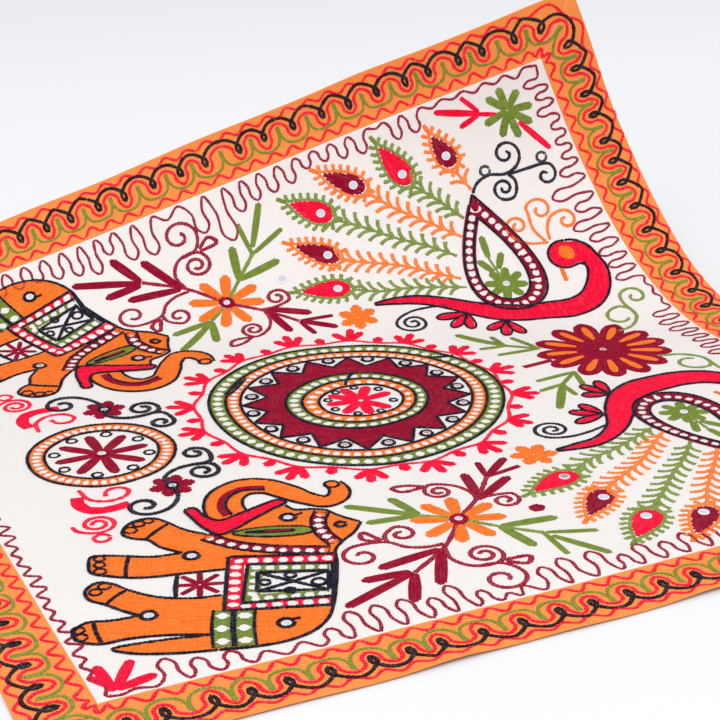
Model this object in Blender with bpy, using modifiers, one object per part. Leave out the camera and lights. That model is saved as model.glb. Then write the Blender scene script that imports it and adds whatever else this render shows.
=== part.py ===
"""Square embroidered tapestry: a cream panel, four mitred border strips and small sewn mirrors.

The cloth lies on the ground and curls up at its far right corner. Every piece is drawn flat and
then laid on that curl. X runs along the near hem, Y towards the far hem and Z up. The origin lies
under the middle of the panel.
"""
import math

import bmesh
import bpy
from mathutils import Matrix, Vector

MM = 0.001

# Cut sizes of the cloth
PANEL_HALF_WIDTH = 396 * MM
PANEL_HALF_HEIGHT = 399 * MM
BORDER_WIDTH_SIDES = 57 * MM
BORDER_WIDTH_ENDS = 60 * MM
CLOTH_THICKNESS = 1.5 * MM
PIECE_GAP = 0.3 * MM

# Unevenness of hand-sewn seams and hems
END_SEAM_BOW = 6 * MM
SIDE_SEAM_BOW = 2 * MM
END_HEM_BOW = 3 * MM
SIDE_HEM_BOW = 1 * MM
HEM_WANDER = 0.8 * MM
HEM_WANDER_HALF_WAVES = 9
HEM_RIPPLE_HEIGHT = 2.8 * MM
HEM_RIPPLE_PITCH = 152 * MM
HEM_RIPPLE_SLANT = 0.8
HEM_RIPPLE_BEAT = 2.7
HEM_RIPPLE_REACH = 38 * MM

# The curl: its fold lines run at this angle from X, and it starts this far from the middle
FOLD_ANGLE = math.radians(-20.8)
CURL_START = 133 * MM
CURL_RADIUS = 229 * MM
CURL_ANGLE = math.radians(92.4)
CURL_STEPS = 30

# How finely the pieces are cut
EDGE_STEPS = 36
BORDER_STEPS_ACROSS = 3
CROSS_CUTS = 6
CROSS_CUT_PITCH = 150 * MM
MIRROR_SIDES = 16

# The stitched design is centred a little to the left of the panel's middle
DESIGN_CENTRE = (-5 * MM, 0.0)
STAR_CENTRE = (-5 * MM, -1 * MM)
STAR_MIRROR_COUNT = 16
STAR_MIRROR_CIRCLE = 104 * MM
STAR_FIRST_ANGLE = math.radians(81.5)
STAR_MIRROR_RADIUS = 3.7 * MM
MIRROR_THICKNESS = 1.0 * MM

# Motifs that are worked once on the far half and once on the near half, in millimetres
# name, far x, far y, near x, near y, radius
PAIRED_MIRRORS = (
    ("feather_1", 81, 233, 87, -238, 4.9),
    ("feather_2", 90, 280, 96, -288, 4.9),
    ("feather_3", 104, 331, 109, -334, 4.9),
    ("feather_4", 151, 347, 156, -350, 4.9),
    ("feather_5", 207, 337, 212, -341, 4.9),
    ("feather_6", 261, 337, 266, -341, 4.9),
    ("wing_flower", 254, 165, 260, -170, 3.9),
    ("spray_flower", -38, 263, -34, -267, 3.6),
    ("scroll_flower", -233, 88, -229, -98, 3.6),
    ("eye", -161, 199, -162, -200, 3.6),
    ("front_knee", -258, 226, -258, -227, 4.0),
    ("back_knee", -320, 301, -320, -302, 4.0),
    ("rump", -230, 358, -230, -359, 4.0),
)

# Motifs worked once, in millimetres
# name, x, y, radius
SINGLE_MIRRORS = (
    ("wheel", -265, -6, 4.0),
    ("great_flower", 277, 0, 3.6),
    ("lone", 31, 271, 6.0),
)

# Colour (red, green, blue), roughness and metallic value of each material
MATERIALS = {
    "cream_cotton": ((0.87, 0.80, 0.72), 0.90, 0.0),
    "orange_cotton": ((0.92, 0.36, 0.05), 0.88, 0.0),
    "mirror_glass": ((0.78, 0.81, 0.86), 0.08, 1.0),
}


def clear_scene():
    """Removes whatever the file starts with."""
    for item in list(bpy.data.objects):
        bpy.data.objects.remove(item, do_unlink=True)


def make_material(name):
    """Returns a material with the colour, roughness and metallic value of its row."""
    colour, roughness, metallic = MATERIALS[name]
    material = bpy.data.materials.new(name)
    material.use_nodes = True
    shader = material.node_tree.nodes["Principled BSDF"]
    shader.inputs["Base Color"].default_value = (*colour, 1.0)
    shader.inputs["Roughness"].default_value = roughness
    shader.inputs["Metallic"].default_value = metallic
    material.diffuse_color = (*colour, 1.0)
    return material


def curl_frame(x, y):
    """Returns where a flat point (x, y) lies on the curled cloth, and the cloth's normal there."""
    along = x * math.cos(FOLD_ANGLE) + y * math.sin(FOLD_ANGLE)
    across = y * math.cos(FOLD_ANGLE) - x * math.sin(FOLD_ANGLE)
    past_start = max(across - CURL_START, 0.0)
    turn = min(past_start / CURL_RADIUS, CURL_ANGLE)
    past_curl = max(past_start - CURL_RADIUS * CURL_ANGLE, 0.0)
    reach = min(across, CURL_START) + CURL_RADIUS * math.sin(turn) + past_curl * math.cos(turn)
    height = CURL_RADIUS * (1.0 - math.cos(turn)) + past_curl * math.sin(turn)
    fold_line = Vector((math.cos(FOLD_ANGLE), math.sin(FOLD_ANGLE), 0.0))
    uphill = Vector((-math.sin(FOLD_ANGLE), math.cos(FOLD_ANGLE), 0.0))
    up = Vector((0.0, 0.0, 1.0))
    point = fold_line * along + uphill * reach + up * height
    normal = up * math.cos(turn) - uphill * math.sin(turn)
    return point, normal


def seam_offset(side, share):
    """Returns how far a side's seam lies from the middle, at a share from -1 to 1 along it."""
    if side % 2 == 0:
        half, bow = PANEL_HALF_HEIGHT, END_SEAM_BOW
    else:
        half, bow = PANEL_HALF_WIDTH, SIDE_SEAM_BOW
    return half + bow * math.cos(0.5 * math.pi * share)


def hem_offset(side, share):
    """Returns how far a side's hem lies from the middle, at a share from -1 to 1 along it."""
    if side % 2 == 0:
        half, bow = PANEL_HALF_HEIGHT + BORDER_WIDTH_ENDS, END_HEM_BOW
    else:
        half, bow = PANEL_HALF_WIDTH + BORDER_WIDTH_SIDES, SIDE_HEM_BOW
    wave = math.sin(0.5 * math.pi * HEM_WANDER_HALF_WAVES * (share + 1.0))
    return half + bow * math.cos(0.5 * math.pi * share) + HEM_WANDER * wave


def hem_ripple(x, y):
    """Returns how far the cloth stands off its bed near a hem, in soft ripples."""
    to_end = PANEL_HALF_HEIGHT + BORDER_WIDTH_ENDS - abs(y)
    to_side = PANEL_HALF_WIDTH + BORDER_WIDTH_SIDES - abs(x)
    nearness = 1.0 - min(max(min(to_end, to_side), 0.0) / HEM_RIPPLE_REACH, 1.0)
    phase = 2.0 * math.pi * (x - HEM_RIPPLE_SLANT * y) / HEM_RIPPLE_PITCH
    swell = 0.5 + 0.5 * math.cos(phase) * math.cos(phase / HEM_RIPPLE_BEAT)
    return HEM_RIPPLE_HEIGHT * nearness * nearness * swell * swell


def cut_along_folds(mesh):
    """Cuts a flat sheet along the curl's fold lines and, more widely, across them."""
    fold_line = Vector((math.cos(FOLD_ANGLE), math.sin(FOLD_ANGLE), 0.0))
    uphill = Vector((-math.sin(FOLD_ANGLE), math.cos(FOLD_ANGLE), 0.0))
    step = CURL_RADIUS * CURL_ANGLE / CURL_STEPS
    cuts = [(uphill * (CURL_START + step * index), uphill) for index in range(CURL_STEPS + 1)]
    for index in range(CROSS_CUTS):
        cuts.append((fold_line * CROSS_CUT_PITCH * (index - 0.5 * (CROSS_CUTS - 1)), fold_line))
    for point, normal in cuts:
        bmesh.ops.bisect_plane(mesh, geom=mesh.verts[:] + mesh.edges[:] + mesh.faces[:],
                               dist=1e-6, plane_co=point, plane_no=normal)


def lay_on_curl(mesh):
    """Moves each point of a flat sheet onto the curl and its hem ripples."""
    for vert in mesh.verts:
        point, normal = curl_frame(vert.co.x, vert.co.y)
        vert.co = point + normal * hem_ripple(vert.co.x, vert.co.y)


def finish_sheet(name, mesh, material, collection):
    """Makes an object of a laid sheet and gives it the cloth's thickness, upwards."""
    data = bpy.data.meshes.new(name)
    mesh.to_mesh(data)
    mesh.free()
    data.materials.append(material)
    item = bpy.data.objects.new(name, data)
    collection.objects.link(item)
    solidify = item.modifiers.new("cloth_thickness", "SOLIDIFY")
    solidify.thickness = CLOTH_THICKNESS
    solidify.offset = 1.0
    solidify.use_even_offset = True
    return item


def make_panel(material, collection):
    """Makes the cream panel: one sheet with its four bowed edges, cut where the curl bends it."""
    mesh = bmesh.new()
    bmesh.ops.create_grid(mesh, x_segments=EDGE_STEPS, y_segments=EDGE_STEPS, size=1.0)
    inset = 0.5 * PIECE_GAP
    for vert in mesh.verts:
        x_share, y_share = vert.co.x, vert.co.y
        vert.co.x = x_share * (seam_offset(1, y_share) - inset)
        vert.co.y = y_share * (seam_offset(0, x_share) - inset)
    bmesh.ops.dissolve_faces(mesh, faces=mesh.faces[:], use_verts=False)
    cut_along_folds(mesh)
    lay_on_curl(mesh)
    return finish_sheet("panel", mesh, material, collection)


def make_border(side, name, material, collection):
    """Makes one border strip with mitred ends; side 0 is the far one, then counter-clockwise."""
    mesh = bmesh.new()
    bmesh.ops.create_grid(mesh, x_segments=EDGE_STEPS, y_segments=BORDER_STEPS_ACROSS, size=1.0)
    half_along = PANEL_HALF_WIDTH if side % 2 == 0 else PANEL_HALF_HEIGHT
    end_width = BORDER_WIDTH_SIDES if side % 2 == 0 else BORDER_WIDTH_ENDS
    mitre_inset = PIECE_GAP / math.sqrt(2.0)
    for vert in mesh.verts:
        share = vert.co.x
        outwards = 0.5 * (vert.co.y + 1.0)
        inner = seam_offset(side, share) + 0.5 * PIECE_GAP
        vert.co.x = share * (half_along + outwards * end_width - mitre_inset)
        vert.co.y = inner + outwards * (hem_offset(side, share) - inner)
    bmesh.ops.rotate(mesh, verts=mesh.verts[:], cent=(0, 0, 0),
                     matrix=Matrix.Rotation(0.5 * math.pi * side, 3, "Z"))
    cut_along_folds(mesh)
    lay_on_curl(mesh)
    return finish_sheet(name, mesh, material, collection)


def make_mirror(name, x, y, radius, material, collection):
    """Makes one small round mirror, lying just on the cloth with its face along the cloth's normal."""
    point, normal = curl_frame(x, y)
    seat = CLOTH_THICKNESS + PIECE_GAP + 0.5 * MIRROR_THICKNESS
    bpy.ops.mesh.primitive_cylinder_add(vertices=MIRROR_SIDES, radius=radius, depth=MIRROR_THICKNESS)
    item = bpy.context.active_object
    item.name = name
    item.data.name = name
    facing = normal.to_track_quat("Z", "Y").to_matrix().to_4x4()
    item.matrix_world = Matrix.Translation(point + normal * seat) @ facing
    item.data.materials.append(material)
    for owner in list(item.users_collection):
        owner.objects.unlink(item)
    collection.objects.link(item)
    return item


def make_mirrors(material, collection):
    """Makes the mirrors of the star, of the motifs worked on both halves and of the single motifs."""
    for index in range(STAR_MIRROR_COUNT):
        angle = STAR_FIRST_ANGLE + 2.0 * math.pi * index / STAR_MIRROR_COUNT
        x = DESIGN_CENTRE[0] + STAR_CENTRE[0] + STAR_MIRROR_CIRCLE * math.cos(angle)
        y = DESIGN_CENTRE[1] + STAR_CENTRE[1] + STAR_MIRROR_CIRCLE * math.sin(angle)
        make_mirror(f"mirror_star_{index + 1:02d}", x, y, STAR_MIRROR_RADIUS, material, collection)
    for name, far_x, far_y, near_x, near_y, radius in PAIRED_MIRRORS:
        for half, x, y in (("far", far_x, far_y), ("near", near_x, near_y)):
            make_mirror(f"mirror_{name}_{half}", DESIGN_CENTRE[0] + x * MM, DESIGN_CENTRE[1] + y * MM,
                        radius * MM, material, collection)
    for name, x, y, radius in SINGLE_MIRRORS:
        make_mirror(f"mirror_{name}", DESIGN_CENTRE[0] + x * MM, DESIGN_CENTRE[1] + y * MM,
                    radius * MM, material, collection)


def main():
    """Builds the tapestry."""
    clear_scene()
    collection = bpy.data.collections.new("tapestry")
    bpy.context.scene.collection.children.link(collection)
    materials = {name: make_material(name) for name in MATERIALS}
    make_panel(materials["cream_cotton"], collection)
    for side, name in enumerate(("border_far", "border_left", "border_near", "border_right")):
        make_border(side, name, materials["orange_cotton"], collection)
    make_mirrors(materials["mirror_glass"], collection)


main()
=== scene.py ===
"""Embroidered square tapestry: cream panel, orange mitred border, chain-stitched motifs and sewn mirrors.

The cloth lies on a pale floor and curls up at its far right corner. All sizes of the needlework are in
millimetres on the flat cloth; the cloth shape then lays them where the cloth lies.
"""
import logging
import math
from dataclasses import dataclass, field
from enum import Enum
from typing import Callable, Dict, List, Optional, Sequence, Tuple, Union

import bmesh
import bpy
import numpy as np
from mathutils import Matrix, Vector


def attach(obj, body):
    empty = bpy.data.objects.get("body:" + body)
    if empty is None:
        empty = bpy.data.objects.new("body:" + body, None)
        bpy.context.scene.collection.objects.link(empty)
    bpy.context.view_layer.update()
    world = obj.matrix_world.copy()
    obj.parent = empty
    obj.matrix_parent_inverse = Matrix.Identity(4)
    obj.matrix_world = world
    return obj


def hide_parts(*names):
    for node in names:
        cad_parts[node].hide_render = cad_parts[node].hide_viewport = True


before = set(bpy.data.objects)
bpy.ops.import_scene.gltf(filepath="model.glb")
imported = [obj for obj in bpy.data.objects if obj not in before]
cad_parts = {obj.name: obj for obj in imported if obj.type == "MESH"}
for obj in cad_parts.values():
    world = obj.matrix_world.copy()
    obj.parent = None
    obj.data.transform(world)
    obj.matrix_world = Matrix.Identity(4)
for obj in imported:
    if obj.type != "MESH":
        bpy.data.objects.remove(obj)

LOG = logging.getLogger("tapestry")
MM = 0.001
BODY = "root"
CLOTH_TOP = 1.5
DESIGN_ORIGIN = (-5.0, 0.0)
# How far the feet of the stitches are sunk into the cloth
SUNK = 0.1
LINE_STEP = 1.6
TINY = 1e-9
BLADE_MARKS = 15
DROP_MARKS = 61
# A spiral starts this many degrees past its stem, has this many marks a turn, and closes in evenly at 1
SPIRAL_LEAD = 25.0
SPIRAL_MARKS = 14
SPIRAL_EASE = 0.85

Array = np.ndarray
Socket = bpy.types.NodeSocket
Pieces = List[bpy.types.Object]
Colour = Tuple[float, float, float]
Point = Tuple[float, float]
Line = Tuple[Point, ...]
# A point and the half width there
Mark = Tuple[float, float, float]
# Base x, base y, tip x, tip y, width
BladeRow = Tuple[float, ...]
# Stem points, centre x, centre y, radius, turns
CurlRow = Tuple[Line, float, float, float, float]
# Mirror x, mirror y, tip x, tip y, warm colouring, stem points
FeatherRow = Tuple[float, float, float, float, bool, Line]


class Thread(Enum):
    """The five cotton threads, by the name of their material slot."""

    RED = "red_thread"
    MAROON = "maroon_thread"
    ORANGE = "orange_thread"
    GREEN = "green_thread"
    BLACK = "black_thread"


class Ground(Enum):
    """The cloth that shows through the open loops of a stitched line."""

    CREAM = "cream"
    ORANGE = "orange"


class Half(Enum):
    """The two halves of the design; the near one mirrors the far one."""

    FAR = 1
    NEAR = -1


# Linear colours of the cloths and threads
CREAM: Colour = (0.705, 0.662, 0.638)
BORDER_ORANGE: Colour = (0.78, 0.242, 0.058)
THREAD_COLOURS: Dict[Thread, Colour] = {
    Thread.RED: (0.92, 0.005, 0.045),
    Thread.MAROON: (0.305, 0.002, 0.027),
    Thread.ORANGE: (0.95, 0.195, 0.024),
    Thread.GREEN: (0.185, 0.26, 0.038),
    Thread.BLACK: (0.012, 0.010, 0.022),
}
GROUND_COLOURS: Dict[Ground, Colour] = {Ground.CREAM: CREAM, Ground.ORANGE: BORDER_ORANGE}


def turned(points: Array, degrees: float) -> Array:
    """Turns (n, 2) points about the origin, counter-clockwise."""
    cosine, sine = math.cos(math.radians(degrees)), math.sin(math.radians(degrees))
    return points @ np.array(((cosine, sine), (-sine, cosine)))


def round_points(centre: Point, radii: Union[float, Array], angles: Array) -> Array:
    """Returns the (n, 2) points at radii and angles in radians from a centre."""
    return np.column_stack((centre[0] + radii * np.cos(angles), centre[1] + radii * np.sin(angles)))


def on_circle(centre: Point, radius: float, degrees: float) -> Point:
    """Returns the point at a radius and an angle in degrees from a centre."""
    angle = math.radians(degrees)
    return centre[0] + radius * math.cos(angle), centre[1] + radius * math.sin(angle)


def steps(path: Array) -> Array:
    """Returns the distances between a line's points."""
    return np.linalg.norm(np.diff(path, axis=0), axis=1)


def reach_along(path: Array) -> Array:
    """Returns how far along a line each of its points lies."""
    return np.concatenate(([0.0], np.cumsum(steps(path))))


def directions(path: Array) -> Array:
    """Returns a line's unit direction at each of its points."""
    tangent = np.gradient(path, axis=0)
    return tangent / (np.linalg.norm(tangent, axis=1)[:, None] + TINY)


def offset_line(path: Array, distance: Union[float, Array]) -> Array:
    """Shifts a line to its left, by one distance or by one for each point."""
    tangent = directions(path)
    return path + np.column_stack((-tangent[:, 1], tangent[:, 0])) * np.reshape(distance, (-1, 1))


def band(path: Array, half: Union[float, Array]) -> Tuple[Array, Array, Array]:
    """Draws the left side, the right side and the closed outline of a strip, from its half width."""
    left, right = offset_line(path, half), offset_line(path, -half)
    return left, right, np.vstack((left, right[::-1], left[:1]))


def spline(points: Sequence[Point], closed: bool = False) -> Array:
    """Draws a smooth line through a few points.

    Args:
        points: The points, in order.
        closed: Whether the line returns to its first point.

    Returns:
        (n, 2) array; a closed line repeats its first point at its end.
    """
    knots = np.asarray(points, dtype=float)
    if closed:
        knots = np.vstack((knots[-1:], knots, knots[:2]))
    else:
        knots = np.vstack((2 * knots[0] - knots[1], knots, 2 * knots[-1] - knots[-2]))
    gaps = steps(knots)[:, None] + TINY
    slopes = np.diff(knots, axis=0) / gaps
    tangents = (slopes[:-1] * gaps[1:] + slopes[1:] * gaps[:-1]) / (gaps[:-1] + gaps[1:])
    pieces: List[Array] = []
    for index in range(1, len(knots) - 2):
        gap = gaps[index, 0]
        t = np.linspace(0.0, 1.0, max(2, int(round(gap / LINE_STEP))) + 1)[:-1, None]
        start, end = knots[index], knots[index + 1]
        lean, arrive = tangents[index - 1] * gap, tangents[index] * gap
        pieces.append((2 * t**3 - 3 * t**2 + 1) * start + (t**3 - 2 * t**2 + t) * lean
                      + (3 * t**2 - 2 * t**3) * end + (t**3 - t**2) * arrive)
    pieces.append(knots[-2][None, :])
    return np.vstack(pieces)


def arc(centre: Point, radius: float, start: float = 0.0, end: float = 360.0, step: float = LINE_STEP) -> Array:
    """Draws an arc of a circle, counter-clockwise if its last angle is the larger.

    Args:
        centre: Middle of the circle.
        radius: Radius.
        start: First angle in degrees.
        end: Last angle.
        step: Rough distance between points.

    Returns:
        (n, 2) array.
    """
    sweep = math.radians(end - start)
    count = max(8, int(abs(sweep) * radius / step))
    return round_points(centre, radius, math.radians(start) + sweep * np.linspace(0.0, 1.0, count + 1))


def curl(stem: Sequence[Point], centre: Point, radius: float, turns: float, core: float = 0.22) -> Array:
    """Draws a stem that ends in a spiral.

    Args:
        stem: Points of the stem before the spiral; its last one gives the angle at which the spiral starts.
        centre: Middle of the spiral.
        radius: Outer radius of the spiral.
        turns: How often it winds, negative for clockwise.
        core: Share of the radius that stays open in the middle.

    Returns:
        (n, 2) array.
    """
    last = stem[-1]
    start = math.degrees(math.atan2(last[1] - centre[1], last[0] - centre[0])) + math.copysign(SPIRAL_LEAD, turns)
    share = np.linspace(0.0, 1.0, max(10, int(abs(turns) * SPIRAL_MARKS)) + 1)
    radii = radius * (1.0 - (1.0 - core) * share**SPIRAL_EASE)
    winding = round_points(centre, radii, np.radians(start + 360.0 * turns * share))
    return spline(list(stem) + [tuple(point) for point in winding])


def axis_between(base: Point, tip: Point, bend: float = 0.0) -> Array:
    """Draws the middle line of a petal or leaf.

    Args:
        base: Where it starts.
        tip: Where it ends.
        bend: How far its middle stands to the left of the straight line.

    Returns:
        (n, 2) array.
    """
    start, along = np.asarray(base, dtype=float), np.subtract(tip, base, dtype=float)
    left = np.array((-along[1], along[0])) / (np.linalg.norm(along) + TINY)
    t = np.linspace(0.0, 1.0, BLADE_MARKS)[:, None]
    return start + along * t + left * bend * np.sin(math.pi * t)


def drop(tip: Point, end: Point, width: float, sharp: float = 1.3) -> Array:
    """Draws the closed outline of a drop.

    Args:
        tip: Its point.
        end: The far side of its round end.
        width: Its greatest width.
        sharp: How slender its point is.

    Returns:
        (n, 2) closed array.
    """
    t = np.linspace(0.0, math.tau, DROP_MARKS)
    across = np.sin(t) * np.abs(np.sin(0.5 * t)) ** sharp
    across *= 0.5 * width / across.max()
    start, along = np.asarray(tip, dtype=float), np.subtract(end, tip)
    left = np.array((-along[1], along[0])) / np.linalg.norm(along)
    return start + along * (0.5 - 0.5 * np.cos(t))[:, None] + left * across[:, None]


def along_line(path: Array, pitch: float, first: float = 0.5) -> Tuple[Array, Array]:
    """Places even marks along a line.

    Args:
        path: (n, 2) line.
        pitch: Rough distance between marks.
        first: Share of the pitch before the first mark.

    Returns:
        The marks and the line's direction at each, both (m, 2).
    """
    reach = reach_along(path)
    count = max(1, int(round(reach[-1] / pitch)))
    marks = (np.arange(count) + first) * reach[-1] / count
    spots, ways = (np.column_stack([np.interp(marks, reach, part[:, axis]) for axis in (0, 1)])
                   for part in (path, np.gradient(path, axis=0)))
    return spots, ways / (np.linalg.norm(ways, axis=1)[:, None] + TINY)


def level_cuts(shape: Array, y: float) -> List[Tuple[float, float]]:
    """Returns the stretches of a level line that lie inside a closed outline."""
    first, last = shape[:-1], shape[1:]
    crossing = (first[:, 1] <= y) != (last[:, 1] <= y)
    first, last = first[crossing], last[crossing]
    cuts = np.sort(first[:, 0] + (y - first[:, 1]) * (last[:, 0] - first[:, 0]) / (last[:, 1] - first[:, 1]))
    return list(zip(cuts[0::2], cuts[1::2]))


def rows_across(outline: Array, holes: Sequence[Array], spacing: float, trim: float
                ) -> List[Tuple[float, float, float]]:
    """Cuts level rows through a closed outline, leaving holes open.

    Args:
        outline: Closed (n, 2) array.
        holes: Closed (n, 2) arrays; they may overlap.
        spacing: Distance between rows.
        trim: What each row is shortened by at both ends.

    Returns:
        Rows as (y, first x, last x).
    """
    low, high = outline[:, 1].min(), outline[:, 1].max()
    count = max(1, int(round((high - low) / spacing)))
    rows: List[Tuple[float, float, float]] = []
    for y in low + (np.arange(count) + 0.5) * (high - low) / count:
        parts = level_cuts(outline, y)
        for hole in holes:
            if hole[:, 1].min() < y < hole[:, 1].max():
                for start, end in level_cuts(hole, y):
                    split = [piece for left, right in parts
                             for piece in ((left, min(right, start)), (max(left, end), right))]
                    parts = [(left, right) for left, right in split if right > left]
        rows += [(y, left + trim, right - trim) for left, right in parts if right - left > 2.0 * trim + 0.8]
    return rows


@dataclass(frozen=True)
class ClothShape:
    """The form in which the cloth lies: flat, with its far right corner curled up, and soft ripples."""

    fold_angle: float = math.radians(-20.8)
    curl_start: float = 133.0
    curl_radius: float = 229.0
    curl_angle: float = math.radians(92.4)
    half_width: float = 396.0
    half_height: float = 399.0
    border_sides: float = 57.0
    border_ends: float = 60.0
    ripple_height: float = 2.8
    ripple_pitch: float = 152.0
    ripple_slant: float = 0.8
    ripple_beat: float = 2.7
    ripple_reach: float = 38.0
    pucker_height: float = 0.45

    def seam_bow(self, end_side: bool) -> float:
        """Returns how far a seam bulges at its middle."""
        return 6.0 if end_side else 2.0

    def hem_bow(self, end_side: bool) -> float:
        """Returns how far a hem bulges at its middle."""
        return 3.0 if end_side else 1.0

    def hem_wander(self, share: Array) -> Array:
        """Returns the small wander of a hem, at shares from -1 to 1 along it."""
        return 0.8 * np.sin(0.5 * math.pi * 9.0 * (share + 1.0))

    def raised(self, x: Array, y: Array, height: Array) -> Array:
        """Raises heights by the soft ripples of the hems and by the small relief that the stitches pull in.

        Args:
            x: Flat positions along the near hem.
            y: Flat positions towards the far hem.
            height: Heights above the cloth's underside.

        Returns:
            The raised heights.
        """
        to_end = self.half_height + self.border_ends - np.abs(y)
        to_side = self.half_width + self.border_sides - np.abs(x)
        nearness = 1.0 - np.clip(np.minimum(to_end, to_side) / self.ripple_reach, 0.0, 1.0)
        phase = math.tau * (x - self.ripple_slant * y) / self.ripple_pitch
        swell = 0.5 + 0.5 * np.cos(phase) * np.cos(phase / self.ripple_beat)
        ripple = self.ripple_height * nearness**2 * swell**2
        broad = np.sin(x / 31.0 + 1.3 * np.sin(y / 57.0)) * np.sin(y / 37.0 + 1.1 * np.sin(x / 71.0))
        small = np.sin(x / 11.0 + 0.7 * y / 13.0) * np.sin(y / 9.0 - 0.4 * x / 17.0)
        return height + ripple + self.pucker_height * (1.0 + 0.7 * broad + 0.3 * small)

    def lay(self, flat: Array) -> Array:
        """Lays flat points on the cloth.

        Args:
            flat: (n, 3) array of x, y and the height above the cloth's underside.

        Returns:
            (n, 3) array of places in metres.
        """
        x, y = flat[:, 0], flat[:, 1]
        cosine, sine = math.cos(self.fold_angle), math.sin(self.fold_angle)
        along = x * cosine + y * sine
        across = y * cosine - x * sine
        past_start = np.maximum(across - self.curl_start, 0.0)
        turn = np.minimum(past_start / self.curl_radius, self.curl_angle)
        past_curl = np.maximum(past_start - self.curl_radius * self.curl_angle, 0.0)
        reach = (np.minimum(across, self.curl_start) + self.curl_radius * np.sin(turn)
                 + past_curl * np.cos(turn))
        rise = self.curl_radius * (1.0 - np.cos(turn)) + past_curl * np.sin(turn)
        height = self.raised(x, y, flat[:, 2])
        reach = reach - height * np.sin(turn)
        rise = rise + height * np.cos(turn)
        return np.column_stack((cosine * along - sine * reach, sine * along + cosine * reach, rise)) * MM


CLOTH = ClothShape()


class NodeBench:
    """Adds and joins the nodes of one material."""

    def __init__(self, name: str) -> None:
        """Starts a material with a Principled shader.

        Args:
            name: The material's name.
        """
        self.material = bpy.data.materials.new(name)
        self.material.use_nodes = True
        self.tree = self.material.node_tree
        self.shader = self.tree.nodes["Principled BSDF"]

    def dress(self, **values: object) -> None:
        """Feeds the shader's own sockets; an underscore stands for a space."""
        for key, value in values.items():
            self.feed(self.shader.inputs[key.replace("_", " ")], value)

    def feed(self, socket: Socket, value: object) -> None:
        """Joins a socket to another, or sets its value.

        Args:
            socket: The socket.
            value: The other socket, a number, a vector or a colour of three parts.
        """
        if isinstance(value, Socket):
            self.tree.links.new(value, socket)
        elif socket.type == "RGBA":
            socket.default_value = (*value, 1.0)
        else:
            socket.default_value = value

    def node(self, kind: str, output: Union[int, str], inputs: Dict[Union[int, str], object],
             **settings: object) -> Socket:
        """Adds a node.

        Args:
            kind: Its kind, without the two words that all kinds start with.
            output: Number or name of the result.
            inputs: What its sockets get, by number or name.
            settings: Its properties.

        Returns:
            The result.
        """
        made = self.tree.nodes.new("ShaderNode" + kind)
        for key, value in settings.items():
            setattr(made, key, value)
        for key, value in inputs.items():
            self.feed(made.inputs[key], value)
        return made.outputs[output]

    def maths(self, operation: str, *values: object, clamp: bool = False) -> Socket:
        """Adds a sum of its values in order; clamped, the result is kept within 0 and 1."""
        return self.node("Math", 0, dict(enumerate(values)), operation=operation, use_clamp=clamp)

    def span(self, value: object, low: float, high: float, out_low: float = 0.0, out_high: float = 1.0) -> Socket:
        """Maps the range from low to high to another, easing in and out."""
        ends = {"Value": value, "From Min": low, "From Max": high, "To Min": out_low, "To Max": out_high}
        return self.node("MapRange", "Result", ends, interpolation_type="SMOOTHSTEP")

    def mix(self, share: object, first: object, second: object) -> Socket:
        """Mixes two colours, by the share of the second."""
        return self.node("Mix", 2, {"Factor": share, 6: first, 7: second}, data_type="RGBA")

    def flat_place(self, layer: str) -> Tuple[Socket, Socket, Socket]:
        """Reads a UV map, and returns the vector, its x and its y."""
        vector = self.node("UVMap", 0, {}, uv_map=layer)
        return (vector, *self.node("SeparateXYZ", 0, {0: vector}).node.outputs[:2])

    def noise(self, vector: Socket, scale: float, detail: float = 2.0) -> Socket:
        """Adds a noise texture, read at a vector."""
        return self.node("TexNoise", "Fac", {"Vector": vector, "Scale": scale, "Detail": detail})

    def bump(self, height: Socket, distance: float, strength: float) -> None:
        """Adds relief, from a height, what 1 of it stands for in metres, and the share that shows."""
        self.dress(Normal=self.node("Bump", 0, {"Height": height, "Distance": distance, "Strength": strength}))


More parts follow.
